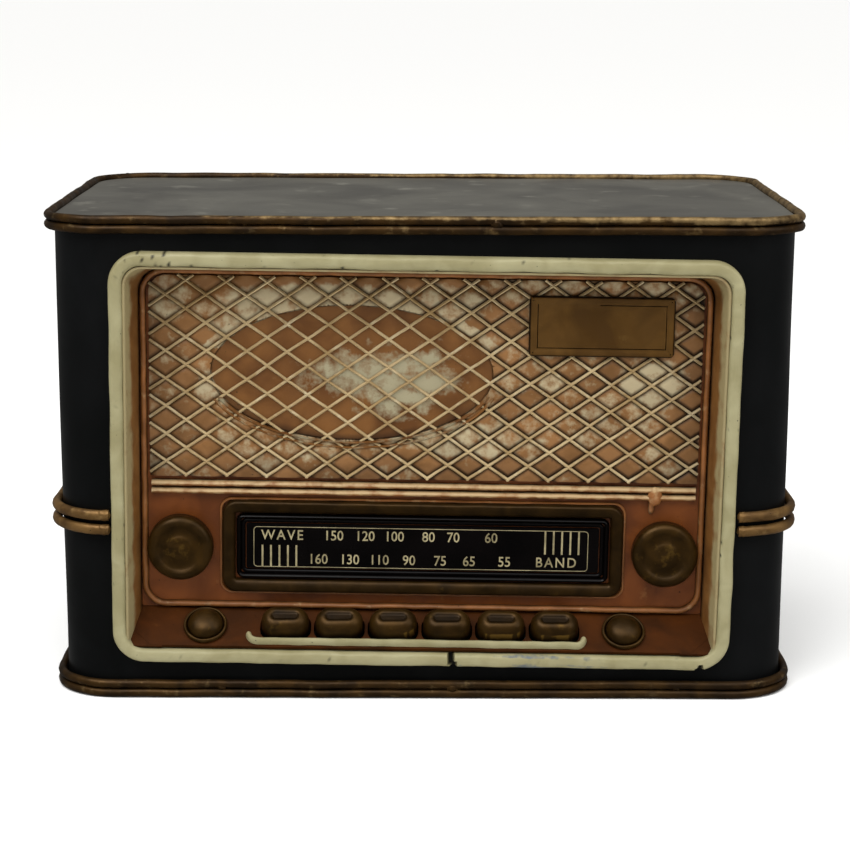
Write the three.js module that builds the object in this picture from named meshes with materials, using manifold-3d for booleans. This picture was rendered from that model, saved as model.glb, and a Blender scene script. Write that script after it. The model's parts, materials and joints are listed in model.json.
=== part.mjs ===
// A wind-up music box in a tin case shaped like a table radio.
// Millimetres, +Z up, front towards -Y, origin at the centre of the underside.

import * as THREE from 'three';
import { mergeVertices } from 'three/addons/utils/BufferGeometryUtils.js';
import Module from 'manifold-3d';

const wasm = await Module();
wasm.setup();

// ---------- driving dimensions ----------

const fit = 0.3; // clearance between pieces that touch
const overallWidth = 260;
const overallDepth = 149.2;
const overallHeight = 168.2;

// tin case
const wireDia = 3;
const wireGap = 0.2;
const wireEdge = 0.9;
const sheet = 0.8;
const caseCorner = 19;
const panelSheet = 1.2;
const waistWireDia = 3.2;
const waistHeight = 62.8;
const waistPitch = 5;
const waistEndGap = 2;

// front: a cream bezel around a recessed fascia, set a little crooked by hand
const frontTilt = THREE.MathUtils.degToRad(0.75);
const bezelSideMargin = 20.1;
const bezelTopMargin = 13.3;
const bezelBottom = 12.1;
const bezelBand = 4.9;
const bezelProud = 4.6;
const bezelCorner = 11;
const recess = 10.6;
const windowSill = 3;
const splay = 2.6;
const topSplay = 0.6;
const surroundWall = 0.8;
const fasciaSheet = 1.2;
const fasciaCorner = 8.5;
const fasciaBottom = 28.3;
const beadWidth = 2.2;
const beadHeight = 1.3;

// grille half of the fascia
const railZone = 5;
const railGap = 0.4;
const railHeight = 2.2;
const railDialGap = 1.9;
const railGrilleGap = 1.3;
const grilleMargin = 1.2;
const grilleSheet = 1.5;
const ovalLeftMargin = 21;
const ovalFoot = 13.5;
const ovalHead = 9.5;
const ovalSheet = 0.6;
const ovalSides = 32;
const plateWidth = 49.7;
const plateHeight = 20.8;
const plateRightMargin = 10;
const plateTopMargin = 5.2;
const plateThick = 1.6;

// dial half of the fascia
const knobRadius = 11.4;
const knobHeight = 6.6;
const knobEdgeGap = 2.6;
const knobLift = 0.7;
const knobZ = 50.7;
const shaftRadius = 2.9;
const shaftLength = 16;
const shaftClearance = 0.35;
const dialKnobGap = 2.9;
const dialBottom = 34.4;
const dialHeight = 32.9;
const dialBand = 4.6;
const dialProud = 3.4;
const dialCorner = 4;
const frameBand = 3.2;
const frameProud = 1.9;
const cardThick = 0.6;

// key ledge, sloping forward from the foot of the fascia
const ledgeSheet = 1.2;
const keyCount = 6;
const keyEndMargin = 42;
const keyRowOffset = -0.5;
const keyGap = 1.7;
const keyDepth = 9.6;
const keyRise = 6.6;
const keyCorner = 3.6;
const keySlotClearance = 0.35;
const keyFlange = 0.65;
const stemSide = 4;
const stemReach = 11.5;
const flangeThick = 1.2;
const keyEdge = 2;
const fingerWidth = 4;
const springSpineWidth = 3;
const guideWidth = 10;
const guideOverhang = 12;
const guideClearance = 0.25;
const guideDrop = 7.2;
const guideSheet = 1.2;
const springSheet = 0.4;
const buttonEndMargin = 25.3;
const buttonRowOffset = -2.4;
const buttonRadius = 6.1;
const buttonRise = 4.6;
const collarBand = 0.9;
const collarRise = 1.1;
const lipThick = 2.2;
const lipRise = 2.4;
const lipEnd = 5.5;
const lipOffset = -1.7;
const lipKeyGap = 0.7;

// back cover and its screws
const backSideMargin = 52;
const backBottom = 9;
const backWaistGap = 3;
const backLap = 5;
const soundSlots = 4;
const screwRadius = 1.5;
const screwHeadRadius = 3;
const screwInset = 3;
const screwHeadThick = 1.4;
const screwSlot = 0.8;
const screwLength = 6;
const soundSlotWidth = 2.4;
const soundSlotPitch = 9;
const soundSlotEnd = 10;
const leverSlotWidth = 12;
const leverSlotHeight = 6;
const keyHoleClearance = 1.6;
const backOpeningCorner = 4;
const backCorner = 5;

// movement
const frameSheet = 1.5;
const frameWidth = 104;
const frameHeight = 66;
const frameDepth = 38;
const frameBackGap = 11;
const frameX = 4;
const barrelX = -24;
const axleZ = 31;
const trainGap = 0.3;
const greatModule = 1.4;
const greatTeeth = 30;
const pinionTeeth = 10;
const cylinderModule = 0.95;
const cylinderTeeth = 40;
const secondPinionTeeth = 8;
const secondModule = 0.85;
const secondTeeth = 24;
const flyPinionTeeth = 8;
const secondAngle = THREE.MathUtils.degToRad(60);
const flyAngle = THREE.MathUtils.degToRad(20);
const greatWidth = 3;
const wheelWidth = 2;
const barrelRadius = 17.6;
const barrelWall = 0.8;
const barrelLength = 22;
const springTurns = 3;
const springStrip = 0.6;
const arborRadius = 3.2;
const boreClearance = 0.25;
const axleRadius = 1.2;
const cylinderRadius = 8.6;
const cylinderLength = 22;
const pinHeight = 0.9;
const pinSide = 0.5;
const combTeeth = 18;
const combSheet = 1;
const combReach = 16;
const combRoot = 12;
const keyShankGap = 3;
const keyWingWidth = 30;
const keyWingHeight = 15;
const keyWingThick = 2.4;
const keyStand = 9;
const keySocketWall = 2.6;
const keyWingCorner = 5;
const keyEyeRadius = 3.2;
const keyEyeOffset = 8.2;
const axleOverhang = 1.5;
const flyBladeRadius = 10.5;
const flyHubRadius = 2.6;
const pinionMargin = 0.4;
const leverRadius = 22;
const leverTail = 11;
const leverWidth = 5;
const discRadius = 4.5;
const discThick = 1.2;

// ---------- sizes that follow from them ----------

const bodyWidth = overallWidth - 2 * (wireDia + wireGap);
const bodyDepth = overallDepth - 2 * (wireDia + wireGap);
const frontY = -bodyDepth / 2;
const backY = bodyDepth / 2;
const lidUnder = overallHeight - wireDia;
const bezelWidth = bodyWidth - 2 * bezelSideMargin;
const bezelTop = overallHeight - bezelTopMargin;
const bezelHeight = bezelTop - bezelBottom;
const mouthWidth = bezelWidth - 2 * bezelBand;
const mouthBottom = bezelBottom + bezelBand;
const mouthTop = bezelTop - bezelBand;
const bezelY = frontY - fit;
const mouthY = bezelY - bezelProud + 1;
const fasciaY = frontY + recess;
const fasciaHalf = mouthWidth / 2 - fit - surroundWall - splay;
const fasciaTop = mouthTop - fit - surroundWall - topSplay;
const railFoot = dialBottom + dialHeight + railDialGap;
const grilleFoot = railFoot + railZone + railGrilleGap;
const grilleHalf = fasciaHalf - beadWidth - grilleMargin;
const grilleTop = fasciaTop - beadWidth - fit;
const knobX = fasciaHalf - knobRadius - knobEdgeGap;
const dialHalf = knobX - knobRadius - dialKnobGap;
const frontCentreZ = (bezelTop + bezelBottom) / 2;

const ledgeTopPoint = new THREE.Vector2(fasciaY - 0.4, fasciaBottom - 0.2);
const ledgeLowPoint = new THREE.Vector2(mouthY + 0.4, mouthBottom + ledgeSheet + 0.2);
const ledgeRun = ledgeTopPoint.x - ledgeLowPoint.x;
const ledgeDrop = ledgeTopPoint.y - ledgeLowPoint.y;
const ledgeAngle = Math.atan2(ledgeDrop, ledgeRun);
const ledgeLength = Math.hypot(ledgeRun, ledgeDrop);
const keyPitch = (2 * (fasciaHalf - keyEndMargin)) / keyCount;
const keyWidth = keyPitch - keyGap;
const buttonX = fasciaHalf - buttonEndMargin;

const backPlateY = backY - frameBackGap;
const frontPlateY = backPlateY - frameDepth;
const bedZ = panelSheet + fit;

// ---------- finishes ----------

const finish = (color, roughness, metalness) =>
  new THREE.MeshStandardMaterial({ color, roughness, metalness });
const blackTin = finish('#17181a', 0.45, 0.3);
const greyTin = finish('#5f605c', 0.6, 0.3);
const bronzeWire = finish('#4d3c27', 0.45, 0.6);
const creamPaint = finish('#a9a07c', 0.6, 0);
const copperPaint = finish('#5e3c24', 0.5, 0.5);
const ochrePaint = finish('#8a6440', 0.6, 0.2);
const umberGold = finish('#45331d', 0.4, 0.5);
const glossBlack = finish('#0b0908', 0.25, 0);
const brass = finish('#b08d4a', 0.35, 1);
const steel = finish('#8f9296', 0.3, 1);

// ---------- small helpers ----------

const model = new THREE.Group();
const front = new THREE.Group();
front.position.z = frontCentreZ;
front.rotation.y = frontTilt;
const frontParts = new THREE.Group();
frontParts.position.z = -frontCentreZ;
front.add(frontParts);
const ledgeGroup = new THREE.Group();
ledgeGroup.position.y = (ledgeTopPoint.x + ledgeLowPoint.x) / 2;
ledgeGroup.position.z = (ledgeTopPoint.y + ledgeLowPoint.y) / 2;
ledgeGroup.rotation.x = ledgeAngle;
frontParts.add(ledgeGroup);
const movement = new THREE.Group();
model.add(front, movement);

/** Adds one named piece to a group. */
function piece(name, geometry, material, parent) {
  const mesh = new THREE.Mesh(geometry, material);
  mesh.name = name;
  parent.add(mesh);
  return mesh;
}

/** Turns a closed geometry into a solid for cutting and joining. */
function solid(geometry) {
  const bare = geometry.clone();
  bare.deleteAttribute('normal');
  bare.deleteAttribute('uv');
  const merged = mergeVertices(bare, 1e-4);
  const vertProperties = new Float32Array(merged.attributes.position.array);
  const triVerts = new Uint32Array(merged.index.array);
  return new wasm.Manifold(new wasm.Mesh({ numProp: 3, vertProperties, triVerts }));
}

/** Turns a solid back into a geometry. */
function geometryOf(body) {
  const mesh = body.getMesh();
  const geometry = new THREE.BufferGeometry();
  geometry.setAttribute('position', new THREE.BufferAttribute(mesh.vertProperties, 3));
  geometry.setIndex(new THREE.BufferAttribute(mesh.triVerts, 1));
  geometry.computeVertexNormals();
  return geometry;
}

/** Joins closed geometries into one. */
function join(...geometries) {
  return geometryOf(geometries.map(solid).reduce((a, b) => a.add(b)));
}

/** Cuts the later geometries out of the first. */
function cut(base, ...tools) {
  return geometryOf(tools.map(solid).reduce((a, b) => a.subtract(b), solid(base)));
}

/** Draws a rounded rectangle from its centre into a Shape or Path. */
function roundedRect(target, width, height, radius, x = 0, y = 0) {
  const w = width / 2 - radius;
  const h = height / 2 - radius;
  target.moveTo(x + w, y - h - radius);
  target.absarc(x + w, y - h, radius, -Math.PI / 2, 0);
  target.absarc(x + w, y + h, radius, 0, Math.PI / 2);
  target.absarc(x - w, y + h, radius, Math.PI / 2, Math.PI);
  target.absarc(x - w, y - h, radius, Math.PI, 1.5 * Math.PI);
  target.closePath();
  return target;
}

/** A circular hole drawn as four quarter turns, so that it is round at any setting. */
function roundHole(x, y, radius) {
  return roundedRect(new THREE.Path(), 2 * radius, 2 * radius, radius, x, y);
}

/** A rounded-rectangle slab, its foot at z = 0. */
function slab(width, height, radius, thickness, x = 0, y = 0, curveSegments = 2) {
  const shape = roundedRect(new THREE.Shape(), width, height, radius, x, y);
  return new THREE.ExtrudeGeometry(shape, { depth: thickness, bevelEnabled: false, curveSegments });
}

/** A rounded-rectangle ring with an outer size and a band width, its foot at z = 0. */
function ring(width, height, radius, band, thickness, edge = 0, curveSegments = 2) {
  const shape = roundedRect(new THREE.Shape(), width - 2 * edge, height - 2 * edge, radius - edge);
  const inner = width - 2 * band + 2 * edge;
  const innerHeight = height - 2 * band + 2 * edge;
  const innerRadius = Math.max(radius - band + edge, 0.4);
  shape.holes.push(roundedRect(new THREE.Path(), inner, innerHeight, innerRadius));
  const geometry = new THREE.ExtrudeGeometry(shape, {
    depth: thickness - 2 * edge,
    bevelEnabled: edge > 0,
    bevelSize: edge,
    bevelThickness: edge,
    bevelSegments: 1,
    curveSegments,
  });
  return geometry.translate(0, 0, edge);
}

/** Stands a geometry up: its height becomes Z, and its thickness runs towards the front from y. */
function facingFront(geometry, y, z = 0) {
  return geometry.rotateX(Math.PI / 2).translate(0, y, z);
}

/** A box given by its lowest and highest corners. */
function boxBetween(x0, y0, z0, x1, y1, z1) {
  const geometry = new THREE.BoxGeometry(x1 - x0, y1 - y0, z1 - z0);
  return geometry.translate((x0 + x1) / 2, (y0 + y1) / 2, (z0 + z1) / 2);
}

/** A cylinder along Y between two planes. */
function rod(radius, y0, y1, x = 0, z = 0, sides = 16) {
  const geometry = new THREE.CylinderGeometry(radius, radius, y1 - y0, sides);
  return geometry.translate(x, (y0 + y1) / 2, z);
}

/** A tube along Y between two planes. */
function tube(radius, bore, y0, y1, x = 0, z = 0, sides = 24) {
  const profile = [
    new THREE.Vector2(bore, y0),
    new THREE.Vector2(radius, y0),
    new THREE.Vector2(radius, y1),
    new THREE.Vector2(bore, y1),
    new THREE.Vector2(bore, y0),
  ];
  return new THREE.LatheGeometry(profile, sides).translate(x, 0, z);
}

/** A turned piece from [radius, height] pairs, its axis along Z. */
function turned(pairs, sides = 24) {
  const profile = pairs.map(([r, h]) => new THREE.Vector2(r, h));
  return new THREE.LatheGeometry(profile, sides).rotateX(Math.PI / 2);
}

// ---------- case ----------

/** The opening that the front assembly fills, turned as the front is. */
function frontWindow() {
  const width = mouthWidth + 2 * fit;
  const bottom = mouthBottom - windowSill;
  const top = mouthTop + fit;
  const window = facingFront(slab(width, top - bottom, 3, 4 * sheet), 0, (top + bottom) / 2);
  window.translate(0, frontY + 2.5 * sheet, -frontCentreZ);
  return window.rotateY(frontTilt).translate(0, 0, frontCentreZ);
}

const backTop = waistHeight - waistPitch / 2 - waistWireDia / 2 - backWaistGap;
const backCentre = (backBottom + backTop) / 2;

function caseShell() {
  const bottom = panelSheet + fit;
  const top = lidUnder - fit;
  const wall = ring(bodyWidth, bodyDepth, caseCorner, sheet, top - bottom).translate(0, 0, bottom);
  const openWidth = bodyWidth - 2 * (backSideMargin + backLap);
  const openHeight = backTop - backBottom - 2 * backLap;
  const opening = facingFront(slab(openWidth, openHeight, backOpeningCorner, 4 * sheet), 0, backCentre);
  opening.translate(0, backY + 1.5 * sheet, 0);
  const holes = screwPlaces().map(([x, z]) => rod(screwRadius + fit, backY - 3, backY + 3, x, z, 12));
  piece('case_shell', cut(wall, frontWindow(), opening, ...holes), blackTin, model);
}

function panels() {
  const lid = slab(bodyWidth, bodyDepth, caseCorner, panelSheet).translate(0, 0, lidUnder);
  piece('lid_panel', lid, greyTin, model);
  piece('base_panel', slab(bodyWidth, bodyDepth, caseCorner, panelSheet), blackTin, model);
}

/** A closed loop of wire round the case, its foot at z. */
function wireLoop(name, z) {
  const spread = 2 * (wireGap + wireDia);
  const corner = caseCorner + wireGap + wireDia;
  const band = ring(bodyWidth + spread, bodyDepth + spread, corner, wireDia, wireDia, wireEdge);
  piece(name, band.translate(0, 0, z), bronzeWire, model);
}

/** A wire round the sides and back at waist height, cut off at the bezel. */
function waistWire(name, z) {
  const spread = 2 * (wireGap + waistWireDia);
  const corner = caseCorner + wireGap + waistWireDia;
  const loop = ring(bodyWidth + spread, bodyDepth + spread, corner, waistWireDia, waistWireDia, wireEdge);
  loop.translate(0, 0, z - waistWireDia / 2);
  const end = bezelWidth / 2 + waistEndGap;
  const gap = boxBetween(-end, frontY - 10, z - 5, end, frontY + 10, z + 5);
  piece(name, cut(loop, gap), bronzeWire, model);
}

function wires() {
  wireLoop('lid_wire_upper', overallHeight - wireDia);
  wireLoop('lid_wire_lower', overallHeight - 2 * wireDia - wireGap);
  waistWire('waist_wire_upper', waistHeight + waistPitch / 2);
  waistWire('waist_wire_lower', waistHeight - waistPitch / 2);
  wireLoop('base_wire_upper', 2 * wireGap + wireDia);
  wireLoop('base_wire_lower', wireGap);
}

/** Where the four back screws stand, as [x, z]. */
function screwPlaces() {
  const x = bodyWidth / 2 - backSideMargin - screwInset;
  const low = backBottom + screwInset;
  const high = backTop - screwInset;
  return [
    [-x, low],
    [x, low],
    [-x, high],
    [x, high],
  ];
}

/** The back cover, with a hole for the winding key, a slot for the lever and sound slots. */
function backPanel() {
  const width = bodyWidth - 2 * backSideMargin;
  const y = backY + fit + panelSheet;
  const cover = facingFront(slab(width, backTop - backBottom, backCorner, panelSheet), y, backCentre);
  const tools = screwPlaces().map(([x, z]) => rod(screwRadius + fit, y - 4, y + 3, x, z, 12));
  tools.push(rod(arborRadius + keyHoleClearance, y - 4, y + 3, barrelX, axleZ));
  const x = leverPivotX();
  const z = leverPivotZ() - leverTail;
  const side = leverSlotWidth / 2;
  const half = leverSlotHeight / 2;
  tools.push(boxBetween(x - side, y - 4, z - half, x + side, y + 3, z + half));
  for (let i = 0; i < soundSlots; i += 1) {
    const slot = slab(soundSlotWidth, backTop - backBottom - 2 * soundSlotEnd, 1.1, 8, 0, 0, 1);
    tools.push(facingFront(slot.translate(barrelX / 2 + soundSlotPitch * i, 0, 0), y + 4, backCentre));
  }
  piece('back_panel', cut(cover, ...tools), blackTin, model);
}

function backScrews() {
  const face = backY + fit + panelSheet;
  screwPlaces().forEach(([x, z], i) => {
    const shank = rod(screwRadius, face + 1 - screwLength, face + 1, x, z, 12);
    const head = rod(screwHeadRadius, face + fit, face + fit + screwHeadThick, x, z, 12);
    const half = screwSlot / 2;
    const slot = boxBetween(x - 4, face + fit + screwHeadThick - 0.6, z - half, x + 4, face + 4, z + half);
    const screw = cut(join(shank, head), slot);
    piece(`back_screw_${i + 1}`, screw, steel, model);
  });
}

// ---------- front ----------

function frontBezel() {
  const frame = ring(bezelWidth, bezelHeight, bezelCorner, bezelBand, bezelProud, 1.5, 3);
  piece('front_bezel', facingFront(frame, bezelY, frontCentreZ), creamPaint, frontParts);
}

/** The splayed copper wall between the bezel's mouth and the fascia: sides and top. */
function surround() {
  const half = mouthWidth / 2 - fit - surroundWall;
  const top = mouthTop - fit - surroundWall;
  const corner = bezelCorner - bezelBand - surroundWall;
  const foot = mouthBottom + 0.8 * (bezelCorner - bezelBand);
  const outline = new THREE.Shape();
  outline.moveTo(-half - surroundWall, foot);
  outline.lineTo(-half, foot);
  outline.lineTo(-half, top - corner);
  outline.absarc(-half + corner, top - corner, corner, Math.PI, Math.PI / 2, true);
  outline.absarc(half - corner, top - corner, corner, Math.PI / 2, 0, true);
  outline.lineTo(half, foot);
  outline.lineTo(half + surroundWall, foot);
  outline.absarc(half - corner, top - corner, corner + surroundWall, 0, Math.PI / 2);
  outline.absarc(-half + corner, top - corner, corner + surroundWall, Math.PI / 2, Math.PI);
  outline.closePath();
  const depth = fasciaY - fit - mouthY;
  const options = { depth, bevelEnabled: false, curveSegments: 3 };
  const wall = facingFront(new THREE.ExtrudeGeometry(outline, options), fasciaY - fit);
  const points = wall.attributes.position;
  for (let i = 0; i < points.count; i += 1) {
    const back = (points.getY(i) - mouthY) / depth;
    const x = points.getX(i);
    const z = points.getZ(i);
    points.setX(i, x - Math.sign(x) * splay * back);
    points.setZ(i, z - topSplay * back * ((z - foot) / (top - foot)));
  }
  piece('surround', wall, copperPaint, frontParts);
}

function fasciaPanel() {
  const half = fasciaHalf + surroundWall;
  const top = fasciaTop + surroundWall;
  const middle = (top + fasciaBottom) / 2;
  const shape = roundedRect(new THREE.Shape(), 2 * half, top - fasciaBottom, 2, 0, middle);
  for (const side of [-1, 1]) {
    shape.holes.push(roundHole(side * knobX, knobZ, shaftRadius + shaftClearance));
  }
  const options = { depth: fasciaSheet, bevelEnabled: false, curveSegments: 2 };
  const panel = facingFront(new THREE.ExtrudeGeometry(shape, options), fasciaY + fasciaSheet);
  piece('fascia_panel', panel, copperPaint, frontParts);
  const height = fasciaTop - fasciaBottom;
  const bead = ring(2 * (fasciaHalf - fit), height - fit, fasciaCorner, beadWidth, beadHeight, 0.5);
  const centre = (fasciaTop + fasciaBottom) / 2;
  piece('fascia_bead', facingFront(bead, fasciaY - fit, centre), copperPaint, frontParts);
}

/** Centre and radii of the oval in the grille, as [x, z, rx, rz]. */
function ovalPlace() {
  const left = -grilleHalf + ovalLeftMargin;
  const right = grilleHalf - plateRightMargin - plateWidth - 11.7;
  const low = grilleFoot + ovalFoot;
  const high = grilleTop - ovalHead;
  return [(left + right) / 2, (low + high) / 2, (right - left) / 2, (high - low) / 2];
}

function grille() {
  const [x, z, rx, rz] = ovalPlace();
  const centre = (grilleTop + grilleFoot) / 2;
  const corner = fasciaCorner - beadWidth;
  const high = grilleTop - grilleFoot;
  const shape = roundedRect(new THREE.Shape(), 2 * grilleHalf, high, corner, 0, centre);
  const hole = new THREE.Path();
  hole.absellipse(x, z, rx, rz, 0, 2 * Math.PI);
  shape.holes.push(hole);
  const options = { depth: grilleSheet, bevelEnabled: false, curveSegments: ovalSides / 2 };
  const panel = facingFront(new THREE.ExtrudeGeometry(shape, options), fasciaY - fit);
  piece('grille_panel', panel, ochrePaint, frontParts);
  const dish = new THREE.Shape();
  dish.absellipse(x, z, rx - fit, rz - fit, 0, 2 * Math.PI);
  const dishOptions = { depth: ovalSheet, bevelEnabled: false, curveSegments: ovalSides / 2 };
  const oval = facingFront(new THREE.ExtrudeGeometry(dish, dishOptions), fasciaY - fit);
  piece('speaker_oval', oval, ochrePaint, frontParts);
}

function blankPlate() {
  const x = grilleHalf - plateRightMargin - plateWidth / 2;
  const z = grilleTop - plateTopMargin - plateHeight / 2;
  const edge = 0.7;
  const shape = roundedRect(new THREE.Shape(), plateWidth - 2 * edge, plateHeight - 2 * edge, 1.2, x, z);
  const options = {
    depth: plateThick - 2 * edge,
    bevelEnabled: true,
    bevelSize: edge,
    bevelThickness: edge,
    bevelSegments: 1,
    curveSegments: 1,
  };
  const plate = new THREE.ExtrudeGeometry(shape, options).translate(0, 0, edge);
  const y = fasciaY - 2 * fit - grilleSheet;
  piece('blank_plate', facingFront(plate, y), umberGold, frontParts);
}

function rails() {
  const names = ['rail_upper', 'rail_lower'];
  const height = (railZone - railGap) / 2;
  names.forEach((name, i) => {
    const z = railFoot + railZone - height / 2 - i * (height + railGap);
    const rail = slab(2 * grilleHalf - 1, height, 0.9, railHeight, 0, 0, 1);
    piece(name, facingFront(rail, fasciaY - fit, z), copperPaint, frontParts);
  });
}

function dial() {
  const centre = dialBottom + dialHeight / 2;
  const y = fasciaY - fit;
  const bezel = ring(2 * dialHalf, dialHeight, dialCorner, dialBand, dialProud, 0.8);
  piece('dial_bezel', facingFront(bezel, y, centre), umberGold, frontParts);
  const frameWide = 2 * (dialHalf - dialBand - fit);
  const frameHigh = dialHeight - 2 * (dialBand + fit);
  const border = ring(frameWide, frameHigh, 1.6, frameBand, frameProud, 0.5, 1);
  piece('dial_frame', facingFront(border, y, centre), glossBlack, frontParts);
  const cardWide = frameWide - 2 * (frameBand + fit);
  const cardHigh = frameHigh - 2 * (frameBand + fit);
  const card = slab(cardWide, cardHigh, 0.6, cardThick, 0, 0, 1);
  piece('dial_card', facingFront(card, y, centre), glossBlack, frontParts);
}

/** A turned knob with a rounded rim and a dished face, on a shaft held behind the fascia. */
function knob(side, x) {
  const profile = [
    [0, 0],
    [knobRadius - 0.6, 0],
    [knobRadius, 1.2],
    [knobRadius, knobHeight - 2.4],
    [knobRadius - 0.9, knobHeight - 0.7],
    [knobRadius - 2.6, knobHeight],
    [knobRadius - 4.4, knobHeight - 0.9],
    [knobRadius * 0.35, knobHeight - 1.5],
    [0, knobHeight - 1.1],
  ];
  const y = fasciaY - knobLift;
  const cap = piece(`${side}_knob`, turned(profile, 20).rotateX(Math.PI / 2), umberGold, frontParts);
  cap.position.set(x, y, knobZ);
  const back = y + fit;
  const shaft = rod(shaftRadius, back, back + shaftLength, 0, 0, 16);
  const clipY = fasciaY + fasciaSheet + fit;
  const clip = rod(shaftRadius + 2.4, clipY, clipY + 1.2, 0, 0, 16);
  const stem = piece(`${side}_knob_shaft`, join(shaft, clip), steel, frontParts);
  stem.position.set(x, 0, knobZ);
}

// ---------- key ledge ----------
// Its group lies on the sloping top face: +Y up the slope, +Z out of the ledge.

/** The middle of each key along the ledge. */
function keyPlaces() {
  return Array.from({ length: keyCount }, (_, i) => keyRowOffset + (i - (keyCount - 1) / 2) * keyPitch);
}

function buttonPlaces() {
  return [buttonRowOffset - buttonX, buttonRowOffset + buttonX];
}

function ledge() {
  const low = mouthWidth / 2 - surroundWall - 3 * fit - 0.5;
  const high = fasciaHalf - 2 * fit;
  const half = ledgeLength / 2;
  const chamfer = bezelCorner - bezelBand;
  const shape = new THREE.Shape([
    new THREE.Vector2(-low + chamfer, -half),
    new THREE.Vector2(low - chamfer, -half),
    new THREE.Vector2(low, -half + chamfer),
    new THREE.Vector2(high, half),
    new THREE.Vector2(-high, half),
    new THREE.Vector2(-low, -half + chamfer),
  ]);
  for (const x of keyPlaces()) {
    const wide = keyWidth + 2 * keySlotClearance;
    const deep = keyDepth + 2 * keySlotClearance;
    shape.holes.push(roundedRect(new THREE.Path(), wide, deep, keyCorner, x, 0));
  }
  for (const x of buttonPlaces()) {
    shape.holes.push(roundHole(x, 0, buttonRadius + keySlotClearance));
  }
  const options = { depth: ledgeSheet, bevelEnabled: false, curveSegments: 2 };
  const plate = new THREE.ExtrudeGeometry(shape, options).translate(0, 0, -ledgeSheet);
  piece('key_ledge', plate, copperPaint, ledgeGroup);
}

/** The flange and square stem that hold a key or button under the ledge. */
function stemBelow(flange) {
  const top = -ledgeSheet - fit;
  const stem = boxBetween(-stemSide / 2, -stemSide / 2, top - stemReach, stemSide / 2, stemSide / 2, top);
  return [flange.translate(0, 0, top - flangeThick), stem];
}

function keyCap(index, x) {
  const edge = keyEdge;
  const foot = -ledgeSheet - fit - 1;
  const shape = roundedRect(
    new THREE.Shape(),
    keyWidth - 2 * edge,
    keyDepth - 2 * edge,
    Math.max(keyCorner - edge, 0.4),
  );
  const options = {
    depth: keyRise - foot - 2 * edge,
    bevelEnabled: true,
    bevelSize: edge,
    bevelThickness: edge,
    bevelSegments: 2,
    curveSegments: 1,
  };
  const dome = new THREE.ExtrudeGeometry(shape, options).translate(0, 0, foot + edge);
  const skirt = slab(keyWidth, keyDepth, keyCorner, 3, 0, 0, 1).translate(0, 0, foot);
  const flange = slab(
    keyWidth + 2 * keyFlange,
    keyDepth + 2 * keyFlange,
    keyCorner,
    flangeThick,
    0,
    0,
    1,
  );
  const [lower, stem] = stemBelow(flange);
  const cap = piece(`key_${index}`, join(dome, skirt, lower, stem), umberGold, ledgeGroup);
  cap.position.x = x;
}

function button(side, x) {
  const r = buttonRadius;
  const foot = -ledgeSheet - fit - 1;
  const profile = [
    [0, foot],
    [r, foot],
    [r, buttonRise * 0.45],
    [r * 0.9, buttonRise * 0.75],
    [r * 0.55, buttonRise * 0.96],
    [0, buttonRise],
  ];
  const dome = new THREE.LatheGeometry(
    profile.map(([a, b]) => new THREE.Vector2(a, b)),
    20,
  ).rotateX(Math.PI / 2);
  const flange = rod(r + 1, 0, flangeThick, 0, 0, 20).rotateX(Math.PI / 2);
  const [lower, stem] = stemBelow(flange);
  const cap = piece(`${side}_button`, join(dome, lower, stem), umberGold, ledgeGroup);
  cap.position.x = x;
  const collar = tube(r + keySlotClearance + collarBand, r + keySlotClearance, 0, collarRise, 0, 0, 20);
  const seat = collar.rotateX(Math.PI / 2).translate(0, 0, fit);
  const band = piece(`${side}_button_collar`, seat, umberGold, ledgeGroup);
  band.position.x = x;
}

/** The slotted strip that keeps the stems straight, hung from the ledge by two posts. */
function keyGuide() {
  const half = buttonX + guideOverhang;
  const wide = guideWidth / 2;
  const top = -ledgeSheet - guideDrop;
  const strip = boxBetween(-half, -wide, top - guideSheet, half, wide, top);
  const posts = [-1, 1].map((side) => {
    const x = side * (half - 1);
    return boxBetween(x - 1, -wide, top - 0.2, x + 1, wide, -ledgeSheet - fit);
  });
  const side = stemSide / 2 + guideClearance;
  const slots = [...keyPlaces(), ...buttonPlaces()].map((x) =>
    boxBetween(x - side, -side, top - 4, x + side, side, top + 2),
  );
  piece('key_guide', cut(join(strip, ...posts), ...slots), steel, ledgeGroup);
}

/** One spring-steel strip with a finger under each stem. */
function keySprings() {
  const top = -ledgeSheet - 2 * fit - stemReach;
  const half = buttonX + 6;
  const back = guideWidth / 2 + 0.4;
  const spine = boxBetween(-half, back, top - springSheet, half, back + springSpineWidth, top);
  const side = fingerWidth / 2;
  const fingers = [...keyPlaces(), ...buttonPlaces()].map((x) =>
    boxBetween(x - side, -3, top - springSheet, x + side, back + 0.2, top),
  );
  piece('key_springs', join(spine, ...fingers), steel, ledgeGroup);
}

/** The cream lip under the keys, with both ends turned up. */
function keyLip() {
  const row = keyCount * keyPitch;
  const half = row / 2 + 3.2;
  const y = -keyDepth / 2 - lipKeyGap - lipThick;
  const strip = slab(2 * half, lipThick, 0.9, lipRise, lipOffset, y + lipThick / 2, 1);
  const ends = [-1, 1].map((side) =>
    slab(1.8, lipEnd, 0.8, lipRise, lipOffset + side * (half - 0.9), y + lipEnd / 2, 1),
  );
  piece('key_lip', join(strip, ...ends).translate(0, 0, fit), creamPaint, ledgeGroup);
}

// ---------- movement ----------
// Every axle lies along Y between the two plates of one folded frame.

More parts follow.
